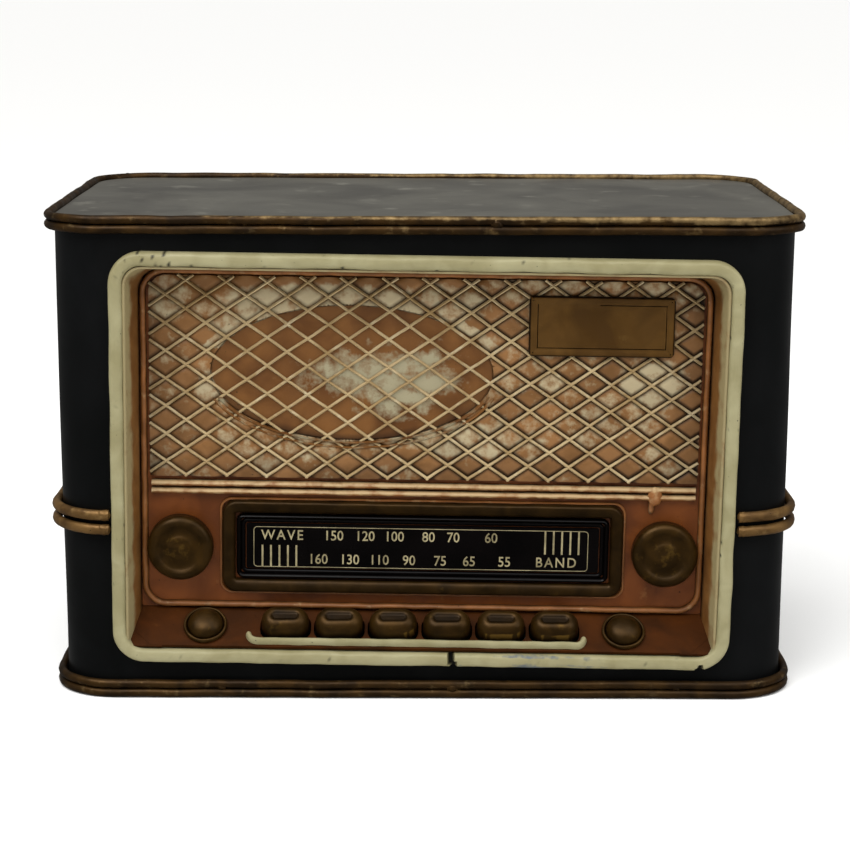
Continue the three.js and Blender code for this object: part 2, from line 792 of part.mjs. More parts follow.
const cylinderX = barrelX + (greatModule * (greatTeeth + pinionTeeth)) / 2 + trainGap;
const secondReach = (cylinderModule * (cylinderTeeth + secondPinionTeeth)) / 2 + trainGap;
const secondX = cylinderX + secondReach * Math.cos(secondAngle);
const secondZ = axleZ + secondReach * Math.sin(secondAngle);
const flyReach = (secondModule * (secondTeeth + flyPinionTeeth)) / 2 + trainGap;
const flyX = secondX + flyReach * Math.cos(flyAngle);
const flyZ = secondZ + flyReach * Math.sin(flyAngle);

/** A gear with its bore, between two planes along Y, one tooth pointing at `phase`. */
function gear(teeth, module, bore, y0, y1, phase) {
  const pitchRadius = (module * teeth) / 2;
  const tip = pitchRadius + 0.8 * module;
  const root = pitchRadius - 1.15 * module;
  const step = (2 * Math.PI) / teeth;
  const shape = new THREE.Shape();
  for (let i = 0; i < teeth; i += 1) {
    const middle = phase + i * step;
    const corners = [
      [root, -0.27],
      [tip, -0.11],
      [tip, 0.11],
      [root, 0.27],
    ];
    corners.forEach(([radius, share], j) => {
      const angle = middle + share * step;
      const x = radius * Math.cos(angle);
      const z = radius * Math.sin(angle);
      if (i + j === 0) shape.moveTo(x, z);
      else shape.lineTo(x, z);
    });
  }
  shape.closePath();
  if (bore > 0) {
    shape.holes.push(roundHole(0, 0, bore));
  }
  const options = { depth: y1 - y0, bevelEnabled: false, curveSegments: 2 };
  return facingFront(new THREE.ExtrudeGeometry(shape, options), y1);
}

/** The folded brass frame: a foot and two plates, with a hole for each axle. */
function movementFrame() {
  const x0 = frameX - frameWidth / 2;
  const x1 = frameX + frameWidth / 2;
  const y0 = frontPlateY;
  const y1 = backPlateY;
  const top = bedZ + frameHeight;
  const foot = boxBetween(x0, y0, bedZ, x1, y1, bedZ + frameSheet);
  const plates = [y0, y1 - frameSheet].map((y) => boxBetween(x0, y, bedZ, x1, y + frameSheet, top));
  const bores = [
    [barrelX, axleZ, arborRadius],
    [cylinderX, axleZ, axleRadius],
    [secondX, secondZ, axleRadius],
    [flyX, flyZ, axleRadius],
  ].map(([x, z, r]) => rod(r + boreClearance, y0 - 3, y1 + 3, x, z, 12));
  const seat = boxBetween(combSeatX(), y0 + 9, bedZ, x1, y1 - 9, axleZ - combSheet / 2 - fit);
  const pivot = rod(axleRadius, y1 - 1, y1 + 4.6, leverPivotX(), leverPivotZ(), 12);
  const frame = cut(join(foot, ...plates, seat), ...bores);
  piece('movement_frame', join(frame, pivot), brass, movement);
}

function combSeatX() {
  return cylinderX + cylinderRadius + pinHeight + combReach;
}

const wheelY = frontPlateY + frameSheet + 1;
const drumY = wheelY + greatWidth;

/** The spring barrel: a toothed great wheel and an open drum, turning on the winding arbor. */
function barrel() {
  const bore = arborRadius + boreClearance;
  const wheel = gear(greatTeeth, greatModule, bore, wheelY, drumY, 0);
  const drum = tube(barrelRadius, barrelRadius - barrelWall, drumY - 0.5, drumY + barrelLength, 0, 0, 24);
  const cap = piece('barrel', join(wheel, drum), brass, movement);
  cap.position.set(barrelX, 0, axleZ);
}

/** The mainspring: one flat spiral strip. */
function mainspring() {
  const inner = arborRadius + 1.2;
  const outer = barrelRadius - barrelWall - fit;
  const steps = springTurns * 12;
  const spiral = (grow) =>
    Array.from({ length: steps + 1 }, (_, i) => {
      const angle = (i / steps) * springTurns * 2 * Math.PI;
      const radius = inner + (outer - springStrip - inner) * (i / steps) + grow;
      return new THREE.Vector2(radius * Math.cos(angle), radius * Math.sin(angle));
    });
  const shape = new THREE.Shape([...spiral(springStrip), ...spiral(0).reverse()]);
  const options = { depth: barrelLength - 3, bevelEnabled: false };
  const strip = facingFront(new THREE.ExtrudeGeometry(shape, options), drumY + barrelLength - 1.5);
  const spring = piece('mainspring', strip, steel, movement);
  spring.position.set(barrelX, 0, axleZ);
}

const keyY = backY + fit + panelSheet + keyShankGap;

/** The winding arbor, from the front plate out through the back cover. */
function windingArbor() {
  const main = rod(arborRadius, frontPlateY - 2, keyY + 7, 0, 0, 16);
  const collar = rod(arborRadius + 0.9, drumY + barrelLength + 1, backPlateY - frameSheet - fit, 0, 0, 16);
  const arbor = piece('winding_arbor', join(main, collar), steel, movement);
  arbor.position.set(barrelX, 0, axleZ);
}

/** The winding key: a socket on the arbor and two flat wings. */
function windingKey() {
  const socket = tube(arborRadius + keySocketWall, arborRadius + 0.2, keyY, keyY + keyStand, 0, 0, 20);
  const cap = rod(arborRadius + keySocketWall, keyY + keyStand - 0.6, keyY + keyStand, 0, 0, 20);
  const wing = slab(keyWingWidth, keyWingHeight, keyWingCorner, keyWingThick, 0, 0, 3);
  wing.translate(0, 0, -keyWingThick / 2);
  const middle = keyY + keyStand + keyWingHeight / 2 - 1.5;
  const blade = wing.translate(0, middle, 0);
  const eyes = [-1, 1].map((side) => {
    const eye = new THREE.CylinderGeometry(keyEyeRadius, keyEyeRadius, 10, 16).rotateX(Math.PI / 2);
    return eye.translate(side * keyEyeOffset, middle + 0.6, 0);
  });
  const key = piece('winding_key', cut(join(socket, cap, blade), ...eyes), brass, movement);
  key.position.set(barrelX, 0, axleZ);
}

const cylinderY = frontPlateY + frameSheet + 7;
const cylinderWheelY = backPlateY - frameSheet - 3.6;

/** The pinned cylinder, in rings of short pins placed by a simple repeating tune. */
function musicCylinder() {
  const bore = axleRadius + boreClearance;
  const drum = solid(tube(cylinderRadius, bore, cylinderY, cylinderY + cylinderLength, 0, 0, 24));
  const pitch = (cylinderLength - 2) / combTeeth;
  let body = drum;
  for (let i = 0; i < combTeeth; i += 1) {
    const y = cylinderY + 1 + pitch * (i + 0.5);
    for (let beat = 0; beat < 2; beat += 1) {
      const angle = ((i * 5 + beat * 17) % 32) * (Math.PI / 16);
      const pin = boxBetween(cylinderRadius - 0.6, y - pinSide / 2, -pinSide / 2,
        cylinderRadius + pinHeight - 0.2, y + pinSide / 2, pinSide / 2);
      body = body.add(solid(pin.rotateY(angle)));
    }
  }
  const cylinder = piece('music_cylinder', geometryOf(body), brass, movement);
  cylinder.position.set(cylinderX, 0, axleZ);
}

/** The cylinder's axle with the pinion that the great wheel drives, and the wheel at its other end. */
function cylinderTrain() {
  const axle = rod(axleRadius, frontPlateY - axleOverhang, backPlateY + axleOverhang, 0, 0, 16);
  const facing = Math.PI + Math.PI / pinionTeeth;
  const pinion = gear(pinionTeeth, greatModule, 0, wheelY, drumY, facing);
  const shaft = piece('cylinder_axle', join(axle, pinion), steel, movement);
  shaft.position.set(cylinderX, 0, axleZ);
  const bore = axleRadius + boreClearance;
  const wheelEnd = cylinderWheelY + wheelWidth;
  const wheel = gear(cylinderTeeth, cylinderModule, bore, cylinderWheelY, wheelEnd, secondAngle);
  const driver = piece('cylinder_wheel', wheel, brass, movement);
  driver.position.set(cylinderX, 0, axleZ);
}

const secondWheelY = cylinderY + cylinderLength - 6;

function secondTrain() {
  const axle = rod(axleRadius, frontPlateY - axleOverhang, backPlateY + axleOverhang, 0, 0, 16);
  const facing = secondAngle + Math.PI + Math.PI / secondPinionTeeth;
  const pinionStart = cylinderWheelY - pinionMargin;
  const pinionEnd = cylinderWheelY + wheelWidth + pinionMargin;
  const pinion = gear(secondPinionTeeth, cylinderModule, 0, pinionStart, pinionEnd, facing);
  const shaft = piece('second_axle', join(axle, pinion), steel, movement);
  shaft.position.set(secondX, 0, secondZ);
  const bore = axleRadius + boreClearance;
  const wheelEnd = secondWheelY + wheelWidth;
  const wheel = gear(secondTeeth, secondModule, bore, secondWheelY, wheelEnd, flyAngle);
  const driver = piece('second_wheel', wheel, brass, movement);
  driver.position.set(secondX, 0, secondZ);
}

const discY = backPlateY + 1.6;

/** The fly axle with its pinion and, outside the back plate, the disc that the brake rubs. */
function flyTrain() {
  const axle = rod(axleRadius, frontPlateY - axleOverhang, discY + 1, 0, 0, 16);
  const facing = flyAngle + Math.PI + Math.PI / flyPinionTeeth;
  const pinionStart = secondWheelY - pinionMargin;
  const pinionEnd = secondWheelY + wheelWidth + pinionMargin;
  const pinion = gear(flyPinionTeeth, secondModule, 0, pinionStart, pinionEnd, facing);
  const disc = rod(discRadius, discY, discY + discThick, 0, 0, 20);
  const shaft = piece('fly_axle', join(axle, pinion, disc), steel, movement);
  shaft.position.set(flyX, 0, flyZ);
  const hub = tube(flyHubRadius, axleRadius + boreClearance, cylinderY, secondWheelY - 3, 0, 0, 16);
  const blades = [-1, 1].map((side) => {
    const near = side * 2;
    const far = side * flyBladeRadius;
    return boxBetween(Math.min(near, far), cylinderY, -0.3, Math.max(near, far), secondWheelY - 3, 0.3);
  });
  const vanes = piece('fly_vanes', join(hub, ...blades), brass, movement);
  vanes.position.set(flyX, 0, flyZ);
}

/** The steel comb on its seat, each tooth's tip just clear of the pins, and its two screws. */
function comb() {
  const tip = cylinderX + cylinderRadius + pinHeight + 0.4;
  const rootX = tip + combReach;
  const pitch = (cylinderLength - 2) / combTeeth;
  const y0 = cylinderY + 1;
  const outline = new THREE.Shape();
  outline.moveTo(rootX + combRoot, y0);
  outline.lineTo(rootX + combRoot, y0 + pitch * combTeeth);
  for (let i = combTeeth - 1; i >= 0; i -= 1) {
    const side = 0.3 * pitch;
    const y = y0 + pitch * (i + 0.5);
    const shortfall = 5 * (i / combTeeth);
    outline.lineTo(rootX - shortfall, y + side);
    outline.lineTo(tip, y + side);
    outline.lineTo(tip, y - side);
    outline.lineTo(rootX - shortfall, y - side);
  }
  outline.lineTo(rootX, y0);
  outline.closePath();
  const places = [0.2, 0.8].map((share) => y0 + share * pitch * combTeeth);
  const screwX = rootX + combRoot / 2;
  for (const y of places) {
    outline.holes.push(roundHole(screwX, y, screwRadius + boreClearance));
  }
  const options = { depth: combSheet, bevelEnabled: false, curveSegments: 1 };
  const plate = new THREE.ExtrudeGeometry(outline, options).translate(0, 0, axleZ - combSheet / 2);
  piece('comb', plate, steel, movement);
  places.forEach((y, i) => {
    const top = axleZ + combSheet / 2 + fit;
    const head = new THREE.CylinderGeometry(screwHeadRadius - 0.4, screwHeadRadius - 0.4, screwHeadThick, 12);
    const shank = new THREE.CylinderGeometry(screwRadius, screwRadius, 1.9, 12);
    head.rotateX(Math.PI / 2).translate(screwX, y, top + screwHeadThick / 2);
    shank.rotateX(Math.PI / 2).translate(screwX, y, top - 0.5);
    const slot = boxBetween(screwX - 4, y - 0.35, top + 0.9, screwX + 4, y + 0.35, top + 3);
    piece(`comb_screw_${i + 1}`, cut(join(head, shank), slot), steel, movement);
  });
}

// The stop lever turns on a pivot outside the back plate: its pad meets the fly's disc,
// and the tab at its tail comes out through the back cover.

function leverPivotX() {
  return flyX + discRadius + leverWidth;
}

function leverPivotZ() {
  return flyZ - leverRadius;
}

function stopLever() {
  const y = discY + discThick;
  const length = leverRadius + leverTail + 5;
  const middle = (leverRadius - leverTail) / 2;
  const arm = facingFront(slab(leverWidth, length, 2, discThick, 0, 0), y, middle);
  const padX = -leverWidth + fit;
  const pad = boxBetween(padX, discY, leverRadius - 2.5, 0, y, leverRadius + 2.5);
  const end = backY + fit + panelSheet + 5;
  const tab = boxBetween(-1, discY, -leverTail - 1, 1, end, -leverTail + 1);
  const bore = rod(axleRadius + boreClearance, y - 5, y + 5, 0, 0, 12);
  const lever = piece('stop_lever', cut(join(arm, pad, tab), bore), steel, movement);
  lever.position.set(leverPivotX(), 0, leverPivotZ());
}

// ---------- assembly ----------

caseShell();
panels();
wires();
backPanel();
backScrews();
frontBezel();
surround();
fasciaPanel();
grille();
blankPlate();
rails();
dial();
knob('left', -knobX);
knob('right', knobX);
ledge();
keyPlaces().forEach((x, i) => keyCap(i + 1, x));
button('left', buttonPlaces()[0]);
button('right', buttonPlaces()[1]);
keyGuide();
keySprings();
keyLip();
movementFrame();
barrel();
mainspring();
windingArbor();
windingKey();
musicCylinder();
cylinderTrain();
secondTrain();
flyTrain();
comb();
stopLever();

export default model;
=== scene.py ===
"""The looks of a wind-up music box in a tin case shaped like a table radio."""

import json
import logging
import math
from dataclasses import dataclass, field
from enum import Enum
from functools import cache
from random import Random
from typing import Any, Callable, Iterable, Sequence

import bmesh
import bpy
from mathutils import Matrix, Vector, noise


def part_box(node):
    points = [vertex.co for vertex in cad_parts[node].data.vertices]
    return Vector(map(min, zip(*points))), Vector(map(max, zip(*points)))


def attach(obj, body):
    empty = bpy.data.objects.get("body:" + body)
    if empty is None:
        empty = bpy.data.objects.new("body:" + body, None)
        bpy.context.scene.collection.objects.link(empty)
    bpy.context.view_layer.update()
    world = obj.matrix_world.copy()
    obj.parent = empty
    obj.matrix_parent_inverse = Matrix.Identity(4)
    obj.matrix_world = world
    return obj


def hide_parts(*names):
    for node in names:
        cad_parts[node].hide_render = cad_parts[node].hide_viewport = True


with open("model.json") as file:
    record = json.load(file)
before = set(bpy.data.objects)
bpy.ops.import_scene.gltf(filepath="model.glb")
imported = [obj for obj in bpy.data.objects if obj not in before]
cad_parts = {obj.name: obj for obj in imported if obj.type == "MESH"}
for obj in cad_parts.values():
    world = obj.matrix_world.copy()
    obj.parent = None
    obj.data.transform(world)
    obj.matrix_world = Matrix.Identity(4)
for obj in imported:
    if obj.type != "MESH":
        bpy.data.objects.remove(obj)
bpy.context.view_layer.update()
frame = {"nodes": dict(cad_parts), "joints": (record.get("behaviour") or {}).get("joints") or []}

log = logging.getLogger("music_box")

MM = 0.001
TURN = 2 * math.pi
UPRIGHT = Matrix.Rotation(math.pi / 2, 4, "X")
NOISE_SEED = 3


class Slot(Enum):
    """The record's material slots."""

    BLACK_TIN = "black_tin"
    LID_TIN = "lid_tin"
    BRONZE_WIRE = "bronze_wire"
    CREAM_PAINT = "cream_paint"
    COPPER_PAINT = "copper_paint"
    OCHRE_PAINT = "ochre_paint"
    UMBER_GOLD = "umber_gold"
    GLOSS_BLACK = "gloss_black"
    BRASS = "brass"
    STEEL = "steel"


class Cut(Enum):
    """How one solid cuts another."""

    AWAY = "DIFFERENCE"
    KEEP = "INTERSECT"


# ---------- materials ----------


def linear(colour: str, alpha: float = 1.0) -> tuple[float, float, float, float]:
    """Turns an sRGB hex colour into linear values.

    Args:
        colour: the colour as "#rrggbb".
        alpha: the fourth value.

    Returns:
        Linear red, green and blue, and alpha.
    """
    shares = [int(colour[i : i + 2], 16) / 255 for i in (1, 3, 5)]
    red, green, blue = (s / 12.92 if s <= 0.04045 else ((s + 0.055) / 1.055) ** 2.4 for s in shares)
    return red, green, blue, alpha


def add_node(
    tree: bpy.types.NodeTree,
    kind: str,
    inputs: dict[Any, Any] | None = None,
    ramp: Sequence[tuple[float, Any]] = (),
    **settings: Any,
) -> bpy.types.Node:
    """Adds a node with its settings and links.

    Args:
        tree: the node tree of a material or world.
        kind: the node's type name.
        inputs: values or linked sockets by input name or number.
        ramp: positions and colours (hex) or greys, for a colour ramp.
        settings: the node's own properties.

    Returns:
        The node.
    """
    node = tree.nodes.new(kind)
    for key, value in settings.items():
        setattr(node, key, value)
    for key, value in (inputs or {}).items():
        if isinstance(value, bpy.types.NodeSocket):
            tree.links.new(value, node.inputs[key])
        else:
            node.inputs[key].default_value = value
    for i, (place, colour) in enumerate(ramp):
        stop = node.color_ramp.elements[i] if i < 2 else node.color_ramp.elements.new(place)
        stop.position = place
        stop.color = linear(colour) if isinstance(colour, str) else (colour, colour, colour, 1)
    return node


@dataclass(frozen=True)
class Finish:
    """Paint or metal on a hand-finished tin piece, darkened in its dips by painted shade and dark wash, and
    rubbed on its crests.

    A mesh may carry two attributes of its own: "hollow", 0 to 1, darkens it, as painted shade at feet,
    creases and corners and as real nicks and dark outlines, and "worn", 0 to 1, lets the rubbed tone
    through, on two pieces also as a painted highlight on the crest.

    Attributes:
        name: what the finish is.
        base: main colour.
        shade: second colour of the soft blotches.
        shade_and_wash: dark colour of the painted shade, of the wash in dips and of the specks.
        rubbed: tone of worn crests.
        blotch_mm: size of the blotches.
        rub: how much is rubbed without the mesh asking for it.
        rub_mm: size of the rubbed spots.
        speck: how many dark specks there are, 0 to 1.
        speck_mm: size of the specks.
        rough: lowest and highest roughness.
        metallic: share of bare metal.
        specular: strength of the gloss.
        grain_mm: size of the surface grain.
        grain_depth_mm: depth of the surface grain.
        stretch: how the grain is drawn out along X, Y and Z, as by a brush.
    """

    name: str
    base: str
    shade: str
    shade_and_wash: str
    rubbed: str
    blotch_mm: float = 16
    rub: float = 0.0
    rub_mm: float = 5
    speck: float = 0.0
    speck_mm: float = 1.6
    rough: tuple[float, float] = (0.45, 0.65)
    metallic: float = 0.0
    specular: float = 0.5
    grain_mm: float = 1.2
    grain_depth_mm: float = 0.05
    stretch: tuple[float, float, float] = (1, 1, 1)

    def build(self) -> bpy.types.Material:
        """Makes the material's nodes.

        Returns:
            The material.
        """
        material = bpy.data.materials.new(self.name)
        material.use_nodes = True
        tree = material.node_tree
        tree.nodes.clear()
        place = add_node(tree, "ShaderNodeTexCoord").outputs["Object"]
        colour = self._colour(tree, place)
        grain = self._grain(tree, place)
        patchy = add_node(
            tree,
            "ShaderNodeTexNoise",
            {"Vector": place, "Scale": 1 / (self.blotch_mm * 0.6 * MM), "Detail": 4.0},
        )
        rough = add_node(
            tree,
            "ShaderNodeMapRange",
            {0: patchy.outputs["Fac"], 1: 0.35, 2: 0.65, 3: self.rough[0], 4: self.rough[1]},
        )
        shader = add_node(
            tree,
            "ShaderNodeBsdfPrincipled",
            {
                "Base Color": colour,
                "Roughness": rough.outputs[0],
                "Metallic": self.metallic,
                "Specular IOR Level": self.specular,
                "Normal": grain,
            },
        )
        add_node(tree, "ShaderNodeOutputMaterial", {"Surface": shader.outputs[0]})
        return material

    def _colour(self, tree: bpy.types.NodeTree, place: bpy.types.NodeSocket) -> bpy.types.NodeSocket:
        """Blotches, rubbed crests, painted shade with dark wash, and specks, one over the other.

        Args:
            tree: the material's tree.
            place: the coordinates.

        Returns:
            The colour socket.
        """
        blotch = add_node(
            tree,
            "ShaderNodeTexNoise",
            {"Vector": place, "Scale": 1 / (self.blotch_mm * MM), "Detail": 5.0, "Distortion": 0.6},
        )
        soft = add_node(
            tree, "ShaderNodeValToRGB", {"Fac": blotch.outputs["Fac"]}, ramp=[(0.36, 0.0), (0.64, 1.0)]
        )
        colour = add_node(
            tree,
            "ShaderNodeMix",
            {"Factor": soft.outputs[0], "A": linear(self.base), "B": linear(self.shade)},
            data_type="RGBA",
        ).outputs["Result"]
        worn = add_node(tree, "ShaderNodeAttribute", attribute_name="worn").outputs["Fac"]
        spots = add_node(
            tree,
            "ShaderNodeTexNoise",
            {"Vector": place, "Scale": 1 / (self.rub_mm * MM), "Detail": 6.0, "Roughness": 0.6},
        )
        lifted = add_node(
            tree,
            "ShaderNodeMath",
            {0: worn, 1: 0.62, 2: spots.outputs["Fac"]},
            operation="MULTIPLY_ADD",
        )
        start = 0.72 - 0.3 * self.rub
        rubbed = add_node(
            tree,
            "ShaderNodeMapRange",
            {0: lifted.outputs[0], 1: start, 2: start + 0.28, 3: 0.0, 4: 1.0},
        )
        colour = add_node(
            tree,
            "ShaderNodeMix",
            {"Factor": rubbed.outputs[0], "A": colour, "B": linear(self.rubbed)},
            data_type="RGBA",
        ).outputs["Result"]
        # painted shade: the mesh's own darkening at feet, creases and corners mixes in the dark colour here,
        # with real nicks and wash
        shade_and_grime = add_node(tree, "ShaderNodeAttribute", attribute_name="shade_and_grime").outputs["Fac"]
        fine = add_node(
            tree,
            "ShaderNodeTexNoise",
            {"Vector": place, "Scale": 1 / (self.speck_mm * MM), "Detail": 3.0},
        )
        edge = 0.82 - 0.2 * self.speck
        specks = add_node(
            tree,
            "ShaderNodeMapRange",
            {0: fine.outputs["Fac"], 1: edge, 2: edge + 0.04, 3: 0.0, 4: 0.85 if self.speck else 0.0},
        )
        dark = add_node(
            tree, "ShaderNodeMath", {0: shade_and_grime, 1: specks.outputs[0]}, operation="MAXIMUM"
        )
        return add_node(
            tree,
            "ShaderNodeMix",
            {"Factor": dark.outputs[0], "A": colour, "B": linear(self.shade_and_wash)},
            data_type="RGBA",
        ).outputs["Result"]

    def _grain(self, tree: bpy.types.NodeTree, place: bpy.types.NodeSocket) -> bpy.types.NodeSocket:
        """Brush marks and orange peel as bump.

        Args:
            tree: the material's tree.
            place: the coordinates.

        Returns:
            The normal socket.
        """
        drawn = add_node(
            tree,
            "ShaderNodeMapping",
            {"Vector": place, "Scale": tuple(1 / (s * self.grain_mm * MM) for s in self.stretch)},
        )
        marks = add_node(
            tree, "ShaderNodeTexNoise", {"Vector": drawn.outputs[0], "Scale": 1.0, "Detail": 3.0}
        )
        return add_node(
            tree,
            "ShaderNodeBump",
            {"Height": marks.outputs["Fac"], "Strength": 0.6, "Distance": self.grain_depth_mm * MM},
        ).outputs[0]


# Satin black enamel brushed on tinplate: near black, faintly blue, broken gloss along the corners.
BLACK_ENAMEL = Finish(
    "satin_black_enamel", "#060707", "#0b0c0d", "#020202", "#1c1c1a",
    blotch_mm=40, rub=0.1, rub_mm=9, rough=(0.3, 0.46), specular=0.15, grain_mm=3, grain_depth_mm=0.06,
)
# The same enamel on the lid, painted a soft grey: painted sheen of the bright studio on its top, with dust
# and scuffs.
LID_SHEEN_AND_SCUFFS = Finish(
    "lid_enamel_sheen_and_scuffs", "#42403b", "#55534c", "#0c0c0b", "#78766c",
    blotch_mm=46, rub=0.42, rub_mm=14, speck=0.5, speck_mm=2, rough=(0.34, 0.52), specular=0.4,
    grain_mm=5, grain_depth_mm=0.1, stretch=(2.5, 1, 1),
)
# Iron wire washed with bronze paint: dark brown with a dull gold crest.
BRONZE_WASH = Finish(
    "bronze_washed_wire", "#3e2a0f", "#261909", "#080502", "#7d6743",
    blotch_mm=9, rub=0.45, rub_mm=4, speck=0.5, rough=(0.36, 0.54), metallic=0.55, specular=0.2,
    grain_mm=1.4, grain_depth_mm=0.12,
)
# The waist wires carry more of the bronze: a paler, yellower brown.
PALE_BRONZE = Finish(
    "pale_bronze_wire", "#745730", "#4d361a", "#120a04", "#9a7c4e",
    blotch_mm=8, rub=0.45, rub_mm=4, speck=0.52, rough=(0.38, 0.55), metallic=0.5, specular=0.25,
    grain_mm=1.4, grain_depth_mm=0.14,
)
# Thick cream enamel laid on by hand: brush ridges, dark nicks, blue-grey where the brush dragged.
CREAM_ENAMEL = Finish(
    "brushed_cream_enamel", "#918b69", "#827b58", "#17140b", "#565d60",
    blotch_mm=12, rub=0.0, rub_mm=3, speck=0.5, speck_mm=1.9, rough=(0.42, 0.6), specular=0.3,
    grain_mm=0.9, grain_depth_mm=0.2, stretch=(9, 2, 2),
)
# Copper paint rubbed back by hand: soft rust brown, paler where it was wiped.
COPPER_WASH = Finish(
    "rubbed_copper_paint", "#713c15", "#552b0e", "#120703", "#8c6236",
    blotch_mm=18, rub=0.25, rub_mm=8, speck=0.5, speck_mm=1.8, rough=(0.38, 0.56), specular=0.15,
    grain_mm=2, grain_depth_mm=0.1,
)
# The same paint on the ledge, darker and redder: a painted-shade copy of it.
SHADED_COPPER = Finish(
    "shaded_copper_paint", "#3f1f06", "#2e1604", "#0c0401", "#5e3a17",
    blotch_mm=14, rub=0.25, rub_mm=6, speck=0.52, speck_mm=1.8, rough=(0.45, 0.6), specular=0.05,
    grain_mm=2, grain_depth_mm=0.1,
)
# The copper paint where it was wiped hard: along the bead, the rails and the dial's lip.
WIPED_COPPER = Finish(
    "wiped_copper_paint", "#845329", "#683f1b", "#150903", "#a58a62",
    blotch_mm=9, rub=0.45, rub_mm=4, speck=0.5, speck_mm=1.4, rough=(0.38, 0.55), specular=0.3,
    grain_mm=1.4, grain_depth_mm=0.1,
)
# Olive glaze over the side walls: cream in front, running to copper at the back.
WALL_GLAZE = Finish(
    "olive_wall_glaze", "#734e26", "#5f3c19", "#140904", "#8c7f5b",
    blotch_mm=12, rub=0.0, rub_mm=9, speck=0.48, speck_mm=1.6, rough=(0.4, 0.58), specular=0.3,
    grain_mm=2, grain_depth_mm=0.1,
)
# Tan glaze over cream pillows, wiped so that the cream shows on the crowns.
TAN_GLAZE = Finish(
    "wiped_tan_glaze", "#835c35", "#6e4b26", "#150903", "#a09273",
    blotch_mm=11, rub=0.12, rub_mm=3.4, speck=0.52, speck_mm=1.5, rough=(0.42, 0.6), specular=0.2,
    grain_mm=1.6, grain_depth_mm=0.1,
)
# The oval's glaze, left flat and brown, with one blotch wiped to cream.
OVAL_GLAZE = Finish(
    "brown_oval_glaze", "#6f4820", "#593614", "#150903", "#8f876c",
    blotch_mm=15, rub=0.05, rub_mm=4, speck=0.5, speck_mm=1.6, rough=(0.42, 0.6), specular=0.2,
    grain_mm=1.8, grain_depth_mm=0.08,
)
# The cast ribs between the pillows, wiped nearly clean.
WIPED_RIB = Finish(
    "wiped_cream_rib", "#b09c76", "#8f7750", "#24140a", "#c3b899",
    blotch_mm=16, rub=0.6, rub_mm=5, speck=0.3, rough=(0.45, 0.62), specular=0.3,
    grain_mm=1.2, grain_depth_mm=0.08,
)
# Dark antique gold: olive brown with a soft gloss; its near-black dark colour is the painted shade at the
# feet of the knobs and keys.
ANTIQUE_GOLD = Finish(
    "dark_antique_gold", "#3f2b0d", "#2c1d06", "#080401", "#684e1f",
    blotch_mm=8, rub=0.3, rub_mm=4, speck=0.2, rough=(0.32, 0.46), metallic=0.6, specular=0.2,
    grain_mm=1.6, grain_depth_mm=0.05,
)
# The same gold, thinner and paler on the blank plate.
PALE_GOLD = Finish(
    "thin_antique_gold", "#5f4219", "#4a310f", "#120903", "#765a2c",
    blotch_mm=14, rub=0.2, rub_mm=6, speck=0.3, rough=(0.38, 0.52), metallic=0.35, specular=0.2,
    grain_mm=2, grain_depth_mm=0.06,
)
# Gloss black lacquer of the dial.
DIAL_LACQUER = Finish(
    "gloss_dial_lacquer", "#030202", "#060404", "#010101", "#0e0a0b",
    blotch_mm=18, rub=0.2, rub_mm=10, rough=(0.18, 0.28), specular=0.1, grain_mm=6, grain_depth_mm=0.02,
)
# Pale straw-coloured screen print.
DIAL_PRINT = Finish(
    "straw_screen_print", "#968b69", "#6f6548", "#2c2618", "#ada383",
    blotch_mm=6, rub=0.3, rub_mm=2, rough=(0.5, 0.6), specular=0.3, grain_mm=1, grain_depth_mm=0.01,
)
# Turned brass, a little tarnished.
PLAIN_BRASS = Finish(
    "tarnished_brass", "#b08d4a", "#8f6f36", "#3b2a12", "#c8aa6a",
    blotch_mm=7, rub=0.3, rub_mm=3, speck=0.2, rough=(0.26, 0.42), metallic=1.0,
    grain_mm=0.8, grain_depth_mm=0.02,
)
# Rolled steel strip and wire.
PLAIN_STEEL = Finish(
    "rolled_steel", "#8f9296", "#7b7e82", "#2c2c2c", "#a8abad",
    blotch_mm=9, rub=0.2, rub_mm=3, speck=0.1, rough=(0.26, 0.4), metallic=1.0,
    grain_mm=0.6, grain_depth_mm=0.02, stretch=(8, 1, 1),
)


class Paintbox:
    """Makes each finish once and puts it on pieces."""

    def __init__(self) -> None:
        """Starts with no finish made."""
        self.made: dict[str, bpy.types.Material] = {}

    def coat(self, piece: bpy.types.Object, finish: Finish) -> None:
        """Gives a piece one finish.

        Args:
            piece: a mesh object.
            finish: its finish.
        """
        if finish.name not in self.made:
            self.made[finish.name] = finish.build()
        piece.data.materials.clear()
        piece.data.materials.append(self.made[finish.name])


PAINTS = Paintbox()


# ---------- places ----------


@cache
def corners(node: str) -> tuple[Vector, Vector]:
    """The lowest and highest corner of a node, in millimetres."""
    low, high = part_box(node)
    return low / MM, high / MM


@dataclass(frozen=True)
class Panel:
    """A rounded rectangle on the front, before the front is set crooked, in millimetres.

    Attributes:
        x: its middle across.
        z: its middle up.
        half_w: half its width.
        half_h: half its height.
        near: its front face along Y.
        far: its back face along Y.
    """

    x: float
    z: float
    half_w: float
    half_h: float
    near: float
    far: float


